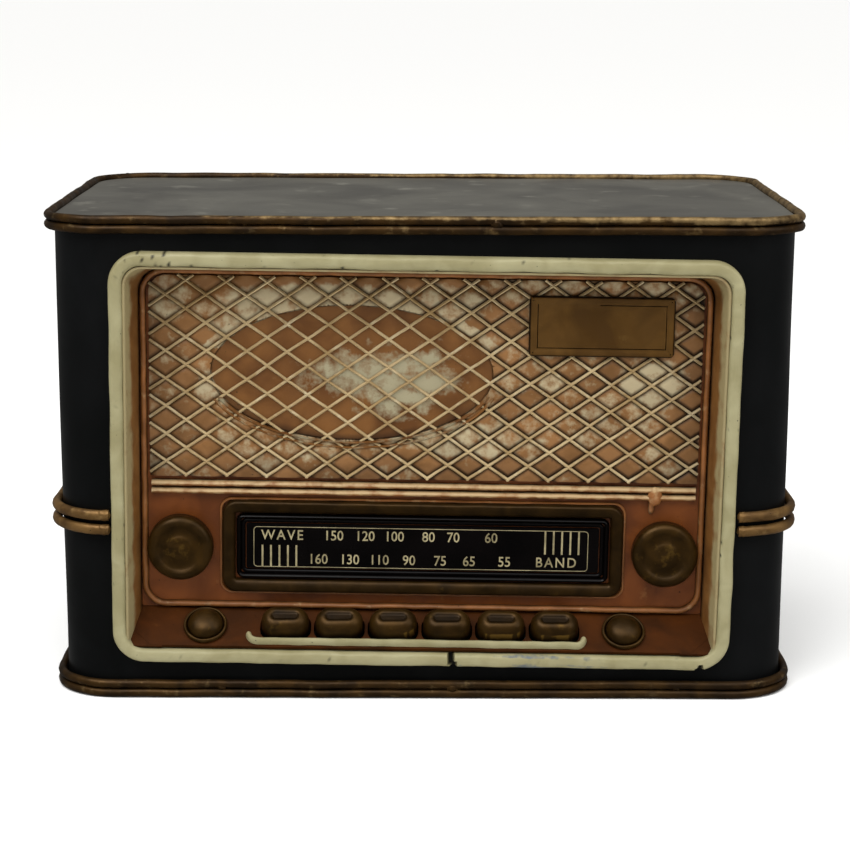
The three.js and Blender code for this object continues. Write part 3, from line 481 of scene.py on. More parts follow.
class Front:
    """The front of the case, set a little crooked, and the ledge that slopes out of its foot."""

    def __init__(self, ledge_sheet: float = 1.2) -> None:
        """Reads how the front and the ledge lie.

        Args:
            ledge_sheet: thickness of the ledge.
        """
        press = next(j for j in frame["joints"] if j["name"] == "key_1_press")
        out = -Vector(press["axis"]).normalized()
        self.tilt = math.atan2(out.x, out.z)
        self.slope = math.asin(-out.y)
        low, high = corners("front_bezel")
        centre = Vector((0, 0, (low.z + high.z) / 2))
        turn = Matrix.Rotation(self.tilt, 4, "Y")
        self.crooked = Matrix.Translation(centre) @ turn @ Matrix.Translation(-centre)
        low, high = corners("key_ledge")
        straight = Vector((0, -math.sin(self.slope), math.cos(self.slope)))
        middle = self.crooked.inverted() @ ((low + high) / 2) + straight * (ledge_sheet / 2)
        middle.x = 0
        self.ledge = self.crooked @ Matrix.Translation(middle) @ Matrix.Rotation(self.slope, 4, "X")

    def panel(self, node: str, corner: float = 0) -> Panel:
        """Finds a node's upright rounded rectangle from its box.

        Args:
            node: the CAD node.
            corner: radius of its corners.

        Returns:
            The rectangle.
        """
        low, high = corners(node)
        centre = self.crooked.inverted() @ ((low + high) / 2)
        wide = (high.x - low.x) / 2 - corner
        tall = (high.z - low.z) / 2 - corner
        c, s = math.cos(self.tilt), math.sin(abs(self.tilt))
        spread = c * c - s * s
        half_w = (wide * c - tall * s) / spread + corner
        half_h = (tall * c - wide * s) / spread + corner
        return Panel(centre.x, centre.z, half_w, half_h, low.y, high.y)

    def standing(self, x: float, y: float, z: float) -> Matrix:
        """Stands a shape up: its Y becomes up, its Z comes out of the front, from a place on the front."""
        return self.crooked @ Matrix.Translation((x, y, z)) @ UPRIGHT

    def against(self, panel: Panel) -> Matrix:
        """Stands a shape up with its back against the sheet behind a panel."""
        return self.standing(panel.x, panel.far, panel.z)

    def on_ledge(self, x: float, y: float = 0, z: float = 0) -> Matrix:
        """A place on the ledge: Y runs up the slope and Z out of it."""
        return self.ledge @ Matrix.Translation((x, y, z))

    def along_ledge(self, node: str) -> float:
        """How far along the ledge a node's middle is."""
        low, high = corners(node)
        return (self.crooked.inverted() @ ((low + high) / 2)).x


FRONT = Front()


# ---------- the bench ----------


def once(items: Iterable[Any]) -> list[Any]:
    """Each item once, in the order met, so that every run builds the same mesh."""
    return list(dict.fromkeys(items))


def held(value: float) -> float:
    """A value held between 0 and 1."""
    return min(1.0, max(0.0, value))


def angles(*span: int) -> list[float]:
    """The angles in radians for a range of whole degrees."""
    return [math.radians(degrees) for degrees in range(*span)]


class Bench:
    """One piece on the bench: its mesh in millimetres while it is shaped."""

    def __init__(self) -> None:
        """Starts with an empty mesh."""
        self.bm = bmesh.new()

    def round_section(
        self, width: float, height: float, sides: int, x: float, y: float, z: float, flat: bool, cap: bool,
        soft: float = 1.0,
    ) -> list[Any]:
        """A closed oval outline across X, to be swept.

        Args:
            width: its size along Y.
            height: its size along Z.
            sides: its number of sides.
            x, y, z: its middle.
            flat: flattens the lower half to its middle plane.
            cap: fills it with a face, for an open sweep.
            soft: 1 for an oval, less for a flatter band with rounded edges.

        Returns:
            Its vertices, edges and face.
        """
        stand = Matrix.Rotation(math.pi / 2, 4, "Y")
        made = bmesh.ops.create_circle(
            self.bm, cap_ends=cap, cap_tris=False, segments=sides, radius=0.5, matrix=stand
        )["verts"]
        for vert in made:
            across, rise = (math.copysign(abs(2 * t) ** soft / 2, t) for t in (vert.co.y, vert.co.z))
            rise = max(rise, 0) if flat else rise
            reach = height * (2 if flat else 1)
            vert.co = Vector((x, y + across * width, z + rise * reach))
        return self._with_edges(made)

    def strip_section(
        self, depth: float, height: float, rows: int, x: float, y: float, z: float
    ) -> list[Any]:
        """A thin upright rectangle across X with rows of points, to be swept as a sheet wall.

        Args:
            depth: its size along Y, inward from y.
            height: its size along Z, up from z.
            rows: the number of rows.
            x, y, z: its outer foot.

        Returns:
            Its vertices and edges.
        """
        place = Matrix.Translation((x, y + depth / 2, z + height / 2)) @ Matrix.Rotation(math.pi / 2, 4, "Y")
        made = bmesh.ops.create_grid(
            self.bm, x_segments=rows, y_segments=1, size=0.5,
            matrix=place @ Matrix.Diagonal((height, depth, 1, 1)),
        )["verts"]
        faces = once(f for v in made for f in v.link_faces)
        inner = [e for e in once(e for v in made for e in v.link_edges) if len(e.link_faces) == 2]
        bmesh.ops.delete(self.bm, geom=faces, context="FACES_ONLY")
        bmesh.ops.delete(self.bm, geom=inner, context="EDGES")
        return self._with_edges(made)

    def _with_edges(self, verts: Sequence[Any]) -> list[Any]:
        """The vertices with the edges and faces that join them.

        Args:
            verts: the vertices.

        Returns:
            Vertices, edges and faces.
        """
        edges = once(e for v in verts for e in v.link_edges)
        faces = once(f for v in verts for f in v.link_faces)
        return [*verts, *edges, *faces]

    def carry(self, section: list[Any], step: Vector, steps: int) -> list[Any]:
        """Extrudes a section in equal steps.

        Args:
            section: its geometry.
            step: one step.
            steps: how many.

        Returns:
            The last section.
        """
        return bmesh.ops.spin(
            self.bm, geom=section, cent=(0, 0, 0), axis=(0, 0, 1), dvec=step, angle=0.0, steps=steps
        )["geom_last"]

    def sweep(
        self,
        section: list[Any],
        half_w: float,
        half_h: float,
        corner: float,
        start: float = 0.0,
        stride: float = 5.0,
        arc: int = 8,
    ) -> "Bench":
        """Carries a section round a rounded rectangle in the XY plane, from the middle of its low side.

        Args:
            section: the section, standing across X at (start, -half_h).
            half_w: half the width of the path.
            half_h: half the height of the path.
            corner: radius of the path's corners.
            start: where on the low side an open path begins and, mirrored, ends.
            stride: length of one straight step.
            arc: steps in each corner.

        Returns:
            The bench.
        """
        across, up = half_w - corner, 2 * (half_h - corner)
        legs = [
            (Vector((1, 0, 0)), across - start),
            (Vector((0, 1, 0)), up),
            (Vector((-1, 0, 0)), 2 * across),
            (Vector((0, -1, 0)), up),
            (Vector((1, 0, 0)), across - start),
        ]
        bends = [
            (across, -half_h + corner),
            (across, half_h - corner),
            (-across, half_h - corner),
            (-across, -half_h + corner),
        ]
        for i, (way, length) in enumerate(legs):
            steps = max(1, round(length / stride))
            section = self.carry(section, way * (length / steps), steps)
            if i < len(bends):
                section = bmesh.ops.spin(
                    self.bm, geom=section, cent=(*bends[i], 0), axis=(0, 0, 1),
                    dvec=(0, 0, 0), angle=math.pi / 2, steps=arc,
                )["geom_last"]
        bmesh.ops.remove_doubles(self.bm, verts=self.bm.verts, dist=1e-3)
        return self

    def turn(self, profile: Sequence[tuple[float, float]], steps: int = 48) -> "Bench":
        """Turns a profile of (radius, height) points about Z.

        Args:
            profile: its points, from the axis to the axis, or closed on itself.
            steps: steps round.

        Returns:
            The bench.
        """
        verts = [self.bm.verts.new((radius, 0, height)) for radius, height in profile]
        edges = [self.bm.edges.new(pair) for pair in zip(verts, verts[1:])]
        bmesh.ops.spin(
            self.bm, geom=[*verts, *edges], cent=(0, 0, 0), axis=(0, 0, 1), dvec=(0, 0, 0),
            angle=TURN, steps=steps, use_merge=True,
        )
        bmesh.ops.remove_doubles(self.bm, verts=self.bm.verts, dist=1e-4)
        return self

    def block(
        self, width: float, height: float, depth: float, corner: float, edge: float, rim: int = 3
    ) -> "Bench":
        """A rounded block standing on z = 0, its corners and its top rim rounded.

        Args:
            width: along X.
            height: along Y.
            depth: along Z.
            corner: radius of the upright corners.
            edge: radius of the top rim.
            rim: segments of the rim.

        Returns:
            The bench.
        """
        place = Matrix.Translation((0, 0, depth / 2)) @ Matrix.Diagonal((width, height, depth, 1))
        made = bmesh.ops.create_cube(self.bm, size=1, matrix=place)["verts"]
        posts = [e for v in made for e in v.link_edges if abs(e.verts[0].co.z - e.verts[1].co.z) > depth / 2]
        bmesh.ops.bevel(
            self.bm, geom=once(posts), offset=corner, offset_type="OFFSET", affect="EDGES",
            segments=8, profile=0.5, material=-1,
        )
        if edge > 0:
            top = [e for e in self.bm.edges if all(v.co.z > depth - 1e-4 for v in e.verts)]
            bmesh.ops.bevel(
                self.bm, geom=top, offset=edge, offset_type="OFFSET", affect="EDGES",
                segments=rim, profile=0.5, material=-1, clamp_overlap=True,
            )
        return self

    def dish(self, rim: float, depth: float, top: float) -> "Bench":
        """Sinks the top face inside a rim.

        Args:
            rim: width of the rim.
            depth: how deep.
            top: height of the top face.

        Returns:
            The bench.
        """
        faces = [f for f in self.bm.faces if all(v.co.z > top - 1e-4 for v in f.verts)]
        for inset, share in ((0.4, 0.45), (0.45, 0.55), (0.15, 0.0)):
            bmesh.ops.inset_region(self.bm, faces=faces, thickness=rim * inset, depth=0)
            verts = once(v for f in faces for v in f.verts)
            bmesh.ops.translate(self.bm, verts=verts, vec=(0, 0, -depth * share))
        return self

    def blob(self, at: Sequence[float], size: Sequence[float]) -> "Bench":
        """Adds a soft lump of solder or paint.

        Args:
            at: its middle.
            size: its three radii.

        Returns:
            The bench.
        """
        place = Matrix.Translation(at) @ Matrix.Diagonal((*size, 1))
        made = bmesh.ops.create_icosphere(self.bm, subdivisions=3, radius=1, matrix=place)["verts"]
        for vert in made:
            vert.co += noise.noise_vector(vert.co * 0.9) * min(size) * 0.3
        return self

    def roughen(self, depth: float, size: float) -> "Bench":
        """Moves every point a little, as hand work does.

        Args:
            depth: how far.
            size: distance between bumps.

        Returns:
            The bench.
        """
        for vert in self.bm.verts:
            vert.co += noise.noise_vector(vert.co / size) * depth
        return self

    def add(self, other: "Bench", place: Matrix = Matrix()) -> "Bench":
        """Adds another bench's shape at a place.

        Args:
            other: the other bench, used up by this.
            place: where it goes.

        Returns:
            The bench.
        """
        other.bm.transform(place)
        mesh = bpy.data.meshes.new("joined")
        other.bm.to_mesh(mesh)
        other.bm.free()
        self.bm.from_mesh(mesh)
        bpy.data.meshes.remove(mesh)
        return self

    def raw(self, name: str, place: Matrix) -> bpy.types.Object:
        """Takes the shape off the bench as a loose object in metres.

        Args:
            name: the object's name.
            place: where it goes, in millimetres.

        Returns:
            The object.
        """
        bmesh.ops.recalc_face_normals(self.bm, faces=self.bm.faces)
        self.bm.transform(Matrix.Scale(MM, 4) @ place)
        mesh = bpy.data.meshes.new(name)
        self.bm.to_mesh(mesh)
        self.bm.free()
        piece = bpy.data.objects.new(name, mesh)
        bpy.context.scene.collection.objects.link(piece)
        return piece


def cut(piece: bpy.types.Object, tool: bpy.types.Object, how: Cut = Cut.AWAY) -> None:
    """Cuts a piece with a tool, which is used up.

    Args:
        piece: the piece.
        tool: the tool.
        how: whether the tool's inside is cut away or kept.
    """
    modifier = piece.modifiers.new("cut", "BOOLEAN")
    modifier.operation = how.value
    modifier.solver = "EXACT"
    modifier.object = tool
    result = bpy.data.meshes.new_from_object(piece.evaluated_get(bpy.context.evaluated_depsgraph_get()))
    piece.modifiers.clear()
    old, piece.data = piece.data, result
    bpy.data.meshes.remove(old)
    bpy.data.objects.remove(tool)


def settle(
    piece: bpy.types.Object, body: str, finish: Finish, slot: Slot, *nodes: str, sharp: float = 35
) -> bpy.types.Object:
    """Finishes a piece: smooth shading, paint, the body it rides on and the nodes it stands for.

    Args:
        piece: the piece, in place.
        body: the body it rides on.
        finish: its finish.
        slot: its material slot; not used.
        nodes: the CAD nodes that it replaces.
        sharp: the angle in degrees from which an edge stays sharp.

    Returns:
        The piece.
    """
    mesh = piece.data
    mesh.polygons.foreach_set("use_smooth", [True] * len(mesh.polygons))
    mesh.set_sharp_from_angle(angle=math.radians(sharp))
    PAINTS.coat(piece, finish)
    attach(piece, body)
    if nodes:
        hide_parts(*nodes)
    log.info("%s: %d faces, rides on %s, stands for %s", piece.name, len(mesh.polygons), body, nodes)
    return piece


def mark(piece: bpy.types.Object, name: str, value: Callable[[Vector], float]) -> None:
    """Writes a value per vertex for the finish to read.

    Args:
        piece: the piece.
        name: the attribute, "hollow" or "worn".
        value: works it out from a place in millimetres, before the front is set crooked.
    """
    back = FRONT.crooked.inverted()
    attribute = piece.data.attributes.new(name, "FLOAT", "POINT")
    values = [value(back @ (v.co / MM)) for v in piece.data.vertices]
    attribute.data.foreach_set("value", values)


# ---------- the case ----------


@dataclass
class Case:
    """The black tin body with its lid and the wires round its edges.

    Attributes:
        corner: radius of the body's upright corners.
        wall: thickness of the tin.
        wire: diameter of the lid and base wires.
        waist_wire: diameter of the waist wires.
        dent: depth of the unevenness of the tin.
        window_margin: how much smaller the window is than the bezel, each side.
        window_corner: radius of the window's corners.
        hatch_margin: how much smaller the hole at the back is than its cover, in all.
        hatch_corner: radius of that hole's corners.
        lid_wave: depth and length of the lid's unevenness.
        lumps: solder on each wire, as place across, side (-1 for the front) and size.
    """

    corner: float = 19.0
    wall: float = 0.8
    wire: float = 3.0
    waist_wire: float = 3.2
    dent: float = 0.35
    window_margin: float = 2.4
    window_corner: float = 8.6
    hatch_margin: float = 9.0
    hatch_corner: float = 3.0
    lid_wave: tuple[float, float] = (0.3, 38.0)
    lumps: dict[str, list[tuple[float, float, float]]] = field(
        default_factory=lambda: {
            "lid_wire_upper": [(24, -1, 1.9), (-118, 1, 2.2), (-60, -1, 1.2), (9, 1, 1.4)],
            "base_wire_upper": [(10, -1, 1.9), (-70, -1, 1.5), (88, -1, 1.3)],
        }
    )

    def build(self) -> None:
        """Makes every piece of the case."""
        self.body()
        self.lid()
        for name in ("lid_wire_upper", "lid_wire_lower", "base_wire_upper", "base_wire_lower"):
            self.edge_wire(name)
        for name in ("waist_wire_upper", "waist_wire_lower"):
            self.waist(name)

    def body(self) -> None:
        """The tin body, a closed band with a window in front and one at the back."""
        low, high = corners("case_shell")
        half_w, half_h = (high.x - low.x) / 2, (high.y - low.y) / 2
        bench = Bench()
        section = bench.strip_section(self.wall, high.z - low.z, 28, 0, -half_h, low.z)
        bench.sweep(section, half_w, half_h, self.corner, stride=8, arc=12)
        for vert in bench.bm.verts:
            push = noise.noise(Vector((vert.co.x, vert.co.y, vert.co.z * 0.7)) / 45) * self.dent
            reach = Vector((vert.co.x, vert.co.y, 0)).normalized()
            vert.co += reach * (push - self.dent)
        piece = bench.raw("case_tin", Matrix())
        bezel = FRONT.panel("front_bezel", 11)
        half_window = Vector((bezel.half_w, bezel.half_h)) - Vector((self.window_margin, self.window_margin))
        window = Bench().block(2 * half_window.x, 2 * half_window.y, 12, self.window_corner, 0)
        cut(piece, window.raw("window", FRONT.standing(bezel.x, -half_h + 8, bezel.z)))
        low_back, high_back = corners("back_panel")
        wide = high_back.x - low_back.x - self.hatch_margin
        tall = high_back.z - low_back.z - self.hatch_margin
        hatch = Bench().block(wide, tall, 8, self.hatch_corner, 0)
        middle = (low_back + high_back) / 2
        cut(piece, hatch.raw("hatch", Matrix.Translation((middle.x, half_h + 4, middle.z)) @ UPRIGHT))
        settle(piece, "case", BLACK_ENAMEL, Slot.BLACK_TIN, "case_shell", sharp=50)

    def lid(self) -> None:
        """The lid sheet, a little uneven."""
        low, high = corners("lid_panel")
        half_w, half_h = (high.x - low.x) / 2, (high.y - low.y) / 2
        thick = high.z - low.z
        bench = Bench()
        bmesh.ops.create_grid(
            bench.bm, x_segments=66, y_segments=38, size=0.5,
            matrix=Matrix.Diagonal((2 * half_w + 8, 2 * half_h + 8, 1, 1)),
        )
        bmesh.ops.solidify(bench.bm, geom=bench.bm.faces[:], thickness=thick)
        wave, length = self.lid_wave
        for vert in bench.bm.verts:
            vert.co.z += wave * noise.noise(vert.co / length)
        middle = (low.z + high.z) / 2
        bmesh.ops.recalc_face_normals(bench.bm, faces=bench.bm.faces)
        centre = sum(v.co.z for v in bench.bm.verts) / len(bench.bm.verts)
        piece = bench.raw("lid_sheet", Matrix.Translation((0, 0, middle - centre)))
        outline = Bench().block(2 * half_w, 2 * half_h, 12, self.corner, 0)
        cut(piece, outline.raw("outline", Matrix.Translation((0, 0, middle - 6))), Cut.KEEP)
        settle(piece, "case", LID_SHEEN_AND_SCUFFS, Slot.LID_TIN, "lid_panel")

    def edge_wire(self, name: str) -> None:
        """A bronze wire round the lid or the base, with its lumps of solder.

        Args:
            name: its CAD node.
        """
        low, high = corners(name)
        half_w = (high.x - low.x - self.wire) / 2
        half_h = (high.y - low.y - self.wire) / 2
        middle = (low.z + high.z) / 2
        bench = Bench()
        section = bench.round_section(self.wire, self.wire, 12, 0, -half_h, 0, False, False)
        bench.sweep(section, half_w, half_h, self.corner + self.wire / 2, stride=4, arc=10)
        bench.roughen(0.22, 13)
        bench.roughen(0.09, 3)
        for x, side, size in self.lumps.get(name, []):
            bench.blob((x, side * half_h, -0.8), (size * 1.2, size * 0.95, size))
        piece = bench.raw(f"{name}_round", Matrix.Translation((0, 0, middle)))
        crest = high.z - self.wire * 0.35
        # painted highlight: the upper lid wire's crest is lighter, over rubbed paint
        mark(piece, "worn", lambda p: 0.42 if name == "lid_wire_upper" and p.z > crest else 0.0)
        settle(piece, "case", BRONZE_WASH, Slot.BRONZE_WIRE, name, sharp=60)

    def waist(self, name: str) -> None:
        """One of the two waist wires, which stop behind the bezel's sides.

        Args:
            name: its CAD node.
        """
        low, high = corners(name)
        half_w = (high.x - low.x - self.waist_wire) / 2
        middle = (low.z + high.z) / 2
        back = high.y - self.waist_wire / 2
        start = corners("front_bezel")[1].x + 0.4
        bench = Bench()
        tall = self.waist_wire * 1.15
        section = bench.round_section(self.waist_wire, tall, 14, start, -back, 0, False, True)
        bench.sweep(section, half_w, back, self.corner + self.waist_wire / 2, start=start, stride=4, arc=10)
        bench.roughen(0.25, 11)
        bench.roughen(0.1, 3)
        for side in (-1, 1):
            bench.blob((side * (start + 1.6), -back, 0), (2.3, 1.6, 1.9))
        piece = bench.raw(f"{name}_round", Matrix.Translation((0, 0, middle)))
        settle(piece, "case", PALE_BRONZE, Slot.BRONZE_WIRE, name, sharp=60)


# ---------- the front ----------


@dataclass
class Bezel:
    """The cream moulding, the copper walls behind it and the bead round the fascia.

    Attributes:
        band: width of the moulding.
        corner: its outer corner radius.
        wall: thickness of the surround.
        bead: width of the bead.
        bead_corner: its outer corner radius.
        crack_x: where the moulding is cracked.
        crack_w: width of the crack.
        surround_corner: corner radius of the walls, at the moulding.
        square_corner: radius left on the walls' lower corners, under the ledge.
        break_floor: what is left of the moulding where it is broken.
        walls_foot: how far under the fascia's foot the surround's back edge is.
    """

    band: float = 4.9
    corner: float = 11.0
    wall: float = 0.8
    bead: float = 2.2
    bead_corner: float = 8.5
    crack_x: float = 11.0
    crack_w: float = 1.9
    break_floor: float = 0.5
    walls_foot: float = 4.0
    surround_corner: float = 6.0
    square_corner: float = 0.8

    def __post_init__(self) -> None:
        """Reads where the moulding, the walls and the bead are."""
        self.rim = FRONT.panel("front_bezel", self.corner)
        self.outer = FRONT.panel("surround", self.surround_corner)
        self.inner = FRONT.panel("fascia_bead", self.bead_corner)

    def build(self) -> None:
        """Makes the moulding, the surround and the bead."""
        self.moulding()
        self.surround()
        self.fascia_bead()

    def moulding(self) -> None:
        """The brushed moulding, its crack and its broken corner."""
        panel = self.rim
        proud = panel.far - panel.near
        half_w, half_h = panel.half_w - self.band / 2, panel.half_h - self.band / 2
        bench = Bench()
        section = bench.round_section(self.band, proud, 28, 0, -half_h, 0, True, False, 0.5)
        bench.sweep(section, half_w, half_h, self.corner - self.band / 2, stride=0.9, arc=20)
        for vert in bench.bm.verts:
            lift = vert.co.z / proud
            wave = noise.noise_vector(Vector((vert.co.x, vert.co.y, 0)) / 11)
            ridge = noise.noise(Vector((vert.co.x * 0.3, vert.co.y * 0.3, vert.co.z)) * 1.4)
            vert.co += Vector((wave.x * 0.4, wave.y * 0.4, (wave.z * 0.3 + ridge * 0.2))) * lift
            if self.broken(vert.co.x + panel.x, vert.co.y):
                vert.co.z = min(vert.co.z, self.break_floor)
        piece = bench.raw("bezel_moulding", FRONT.against(panel))
        mark(piece, "worn", self.dragged)
        mark(piece, "shade_and_grime", self.nicked)
        settle(piece, "case", CREAM_ENAMEL, Slot.CREAM_PAINT, "front_bezel", sharp=50)

    def broken(self, x: float, up: float) -> bool:
        """Whether a place on the moulding lies in its crack or in its broken lower right corner.

        Args:
            x: the place across.
            up: its height over the moulding's middle.

        Returns:
            True where the moulding is gone.
        """
        over_foot = up + self.rim.half_h
        from_crack = abs(x - self.crack_x + 0.15 * over_foot)
        from_chip = abs(x - self.rim.half_w + 10.5 - 0.5 * over_foot)
        in_crack = over_foot < self.band + 1 and from_crack < self.crack_w / 2
        in_chip = over_foot < 2.6 and from_chip < 1.5 - 0.45 * over_foot
        return in_crack or in_chip

    def dragged(self, place: Vector) -> float:
        """Where the brush dragged blue-grey into the cream: the foot, right of its middle.

        Args:
            place: in millimetres, on the upright front.

        Returns:
            0 to 1.
        """
        foot = max(0.0, 1 - (place.z - self.rim.z + 70) / 8)
        along = max(0.0, 1 - abs(place.x - 38) / 40)
        streak = noise.noise(Vector((place.x / 16, place.z / 0.8, 5))) + 0.25
        return min(1.0, max(0.0, streak) * 2.2) * along * min(1.0, foot)

    def nicked(self, place: Vector) -> float:
        """Dark nicks: thick in the upper left corner, few elsewhere.

        Args:
            place: in millimetres, on the upright front.

        Returns:
            0 to 1.
        """
        if self.broken(place.x, place.z - self.rim.z):
            return 1.0
        corner = max(0.0, 1 - math.hypot(place.x + 92, place.z - 148) / 16)
        side = max(0.0, 1 - math.hypot((place.x + 96) / 6, (place.z - 66) / 12))
        edge = noise.noise(Vector((place.x / 1.3, place.z / 2.2, 1)))
        return min(1.0, max(0.0, edge - 0.62 + 0.5 * max(corner, side)) * 8)

    def surround(self) -> None:
        """The copper walls from the moulding back to the fascia, open under the key ledge."""
        top, foot = self.mouth()
        middle = (top + foot) / 2 - self.outer.z
        sunk = self.inner.z - self.walls_foot / 2 - self.outer.z
        deep = self.outer.near - self.inner.far
        tall = self.inner.half_h + self.walls_foot / 2
        bench = Bench()
        loops = self._outline(bench, self.outer.half_w, (top - foot) / 2, middle, 6.2, 0.0)
        loops += self._outline(bench, self.inner.half_w + 0.5, tall, sunk, self.bead_corner, deep)
        bmesh.ops.bridge_loops(bench.bm, edges=loops)
        long = [e for e in bench.bm.edges if abs(e.verts[0].co.z - e.verts[1].co.z) > 1]
        bmesh.ops.subdivide_edges(bench.bm, edges=long, cuts=10, use_grid_fill=True)
        under = [f for f in bench.bm.faces if f.calc_center_median().y < 0 and abs(f.normal.y) > 0.4]
        bmesh.ops.delete(bench.bm, geom=under, context="FACES")
        place = FRONT.standing(self.outer.x, self.outer.near, self.outer.z)
        piece = bench.raw("surround_walls", place)
        wall = piece.modifiers.new("wall", "SOLIDIFY")
        wall.thickness = self.wall * MM
        wall.offset = 0
        mark(piece, "worn", self.front_cream)
        # painted shade in the back corner of the walls, beside the bead
        mark(piece, "shade_and_grime", self.back_corner_shade)
        settle(piece, "case", WALL_GLAZE, Slot.COPPER_PAINT, "surround")
        self.ledge_ends()

    def _outline(
        self, bench: Bench, half_w: float, half_h: float, lift: float, corner: float, depth: float
    ) -> list[Any]:
        """Draws one end of the walls: round above, nearly square below.

        Args:
            bench: the bench.
            half_w: half its width.
            half_h: half its height.
            lift: its middle up.
            corner: radius of its upper corners.
            depth: how far forward it is.

        Returns:
            Its edges.
        """
        place = Matrix.Translation((0, lift, depth)) @ Matrix.Diagonal((2 * half_w, 2 * half_h, 1, 1))
        made = bmesh.ops.create_grid(bench.bm, x_segments=1, y_segments=1, size=0.5, matrix=place)["verts"]
        for lower, radius in ((False, corner), (True, self.square_corner)):
            ends = [v for v in made if v.is_valid and (v.co.y < lift) == lower]
            bmesh.ops.bevel(
                bench.bm, geom=ends, offset=radius, offset_type="OFFSET", affect="VERTICES",
                segments=10, profile=0.5, material=-1,
            )
        faces = [f for f in bench.bm.faces if abs(f.calc_center_median().z - depth) < 1e-3]
        edges = once(e for f in faces for e in f.edges)
        bmesh.ops.delete(bench.bm, geom=faces, context="FACES_ONLY")
        return edges

    def mouth(self) -> tuple[float, float]:
        """The heights of the top and the foot of the opening behind the moulding."""
        return self.outer.z + self.outer.half_h, self.rim.z - self.rim.half_h + self.band - 0.5

    def depth(self, place: Vector) -> float:
        """How deep a place lies in the recess, from 0 at the moulding to 1 at the fascia."""
        return (place.y - self.outer.near) / (self.inner.far - self.outer.near)

    def front_cream(self, place: Vector) -> float:
        """The cream of the moulding runs over the front half of the walls."""
        ragged = 0.16 * noise.noise(place / 7)
        return 0.85 * held((0.66 + ragged - self.depth(place)) / 0.34)

    def back_corner_shade(self, place: Vector) -> float:
        """Painted shade darkens the walls in the corner beside the bead."""
        return 0.9 * held((self.depth(place) - 0.84) / 0.14)

    def ledge_ends(self) -> None:
        """The two ends of the ledge, let into the round corners of the walls."""
        low, high = corners("key_ledge")
        outer = self.outer
        run = (high.y - low.y) / math.cos(FRONT.slope)
        sheet = Bench().block(2 * outer.half_w + 4, run, 0.8, 0.4, 0)
        piece = sheet.raw("ledge_ends", FRONT.on_ledge(outer.x, 0, -0.95))
        top, foot = self.mouth()
        inside = Bench().block(2 * outer.half_w, top - foot, 60, 5.6, 0)
        place = FRONT.standing(outer.x, outer.near + 50, (top + foot) / 2)
        cut(piece, inside.raw("inside", place), Cut.KEEP)
        middle = Bench().block(high.x - low.x - 20, 60, 20, 1, 0)
        cut(piece, middle.raw("middle", FRONT.on_ledge(outer.x, 0, -10)))
        settle(piece, "case", SHADED_COPPER, Slot.COPPER_PAINT)

    def fascia_bead(self) -> None:
        """The rounded bead round the fascia."""
        panel = self.inner
        half_w, half_h = panel.half_w - self.bead / 2, panel.half_h - self.bead / 2
        bench = Bench()
        rise = panel.far - panel.near + 0.5
        section = bench.round_section(self.bead, rise, 14, 0, -half_h, 0, True, False)
        bench.sweep(section, half_w, half_h, self.bead_corner - self.bead / 2, stride=2)
        bench.roughen(0.2, 6)
        piece = bench.raw("fascia_bead_round", FRONT.against(panel))
        # painted shade: the bead darkens towards its foot
        mark(piece, "shade_and_grime", lambda p: 0.9 * held(1.5 - 2.2 * (panel.far - p.y) / rise))
        settle(piece, "case", WIPED_COPPER, Slot.COPPER_PAINT, "fascia_bead", sharp=50)


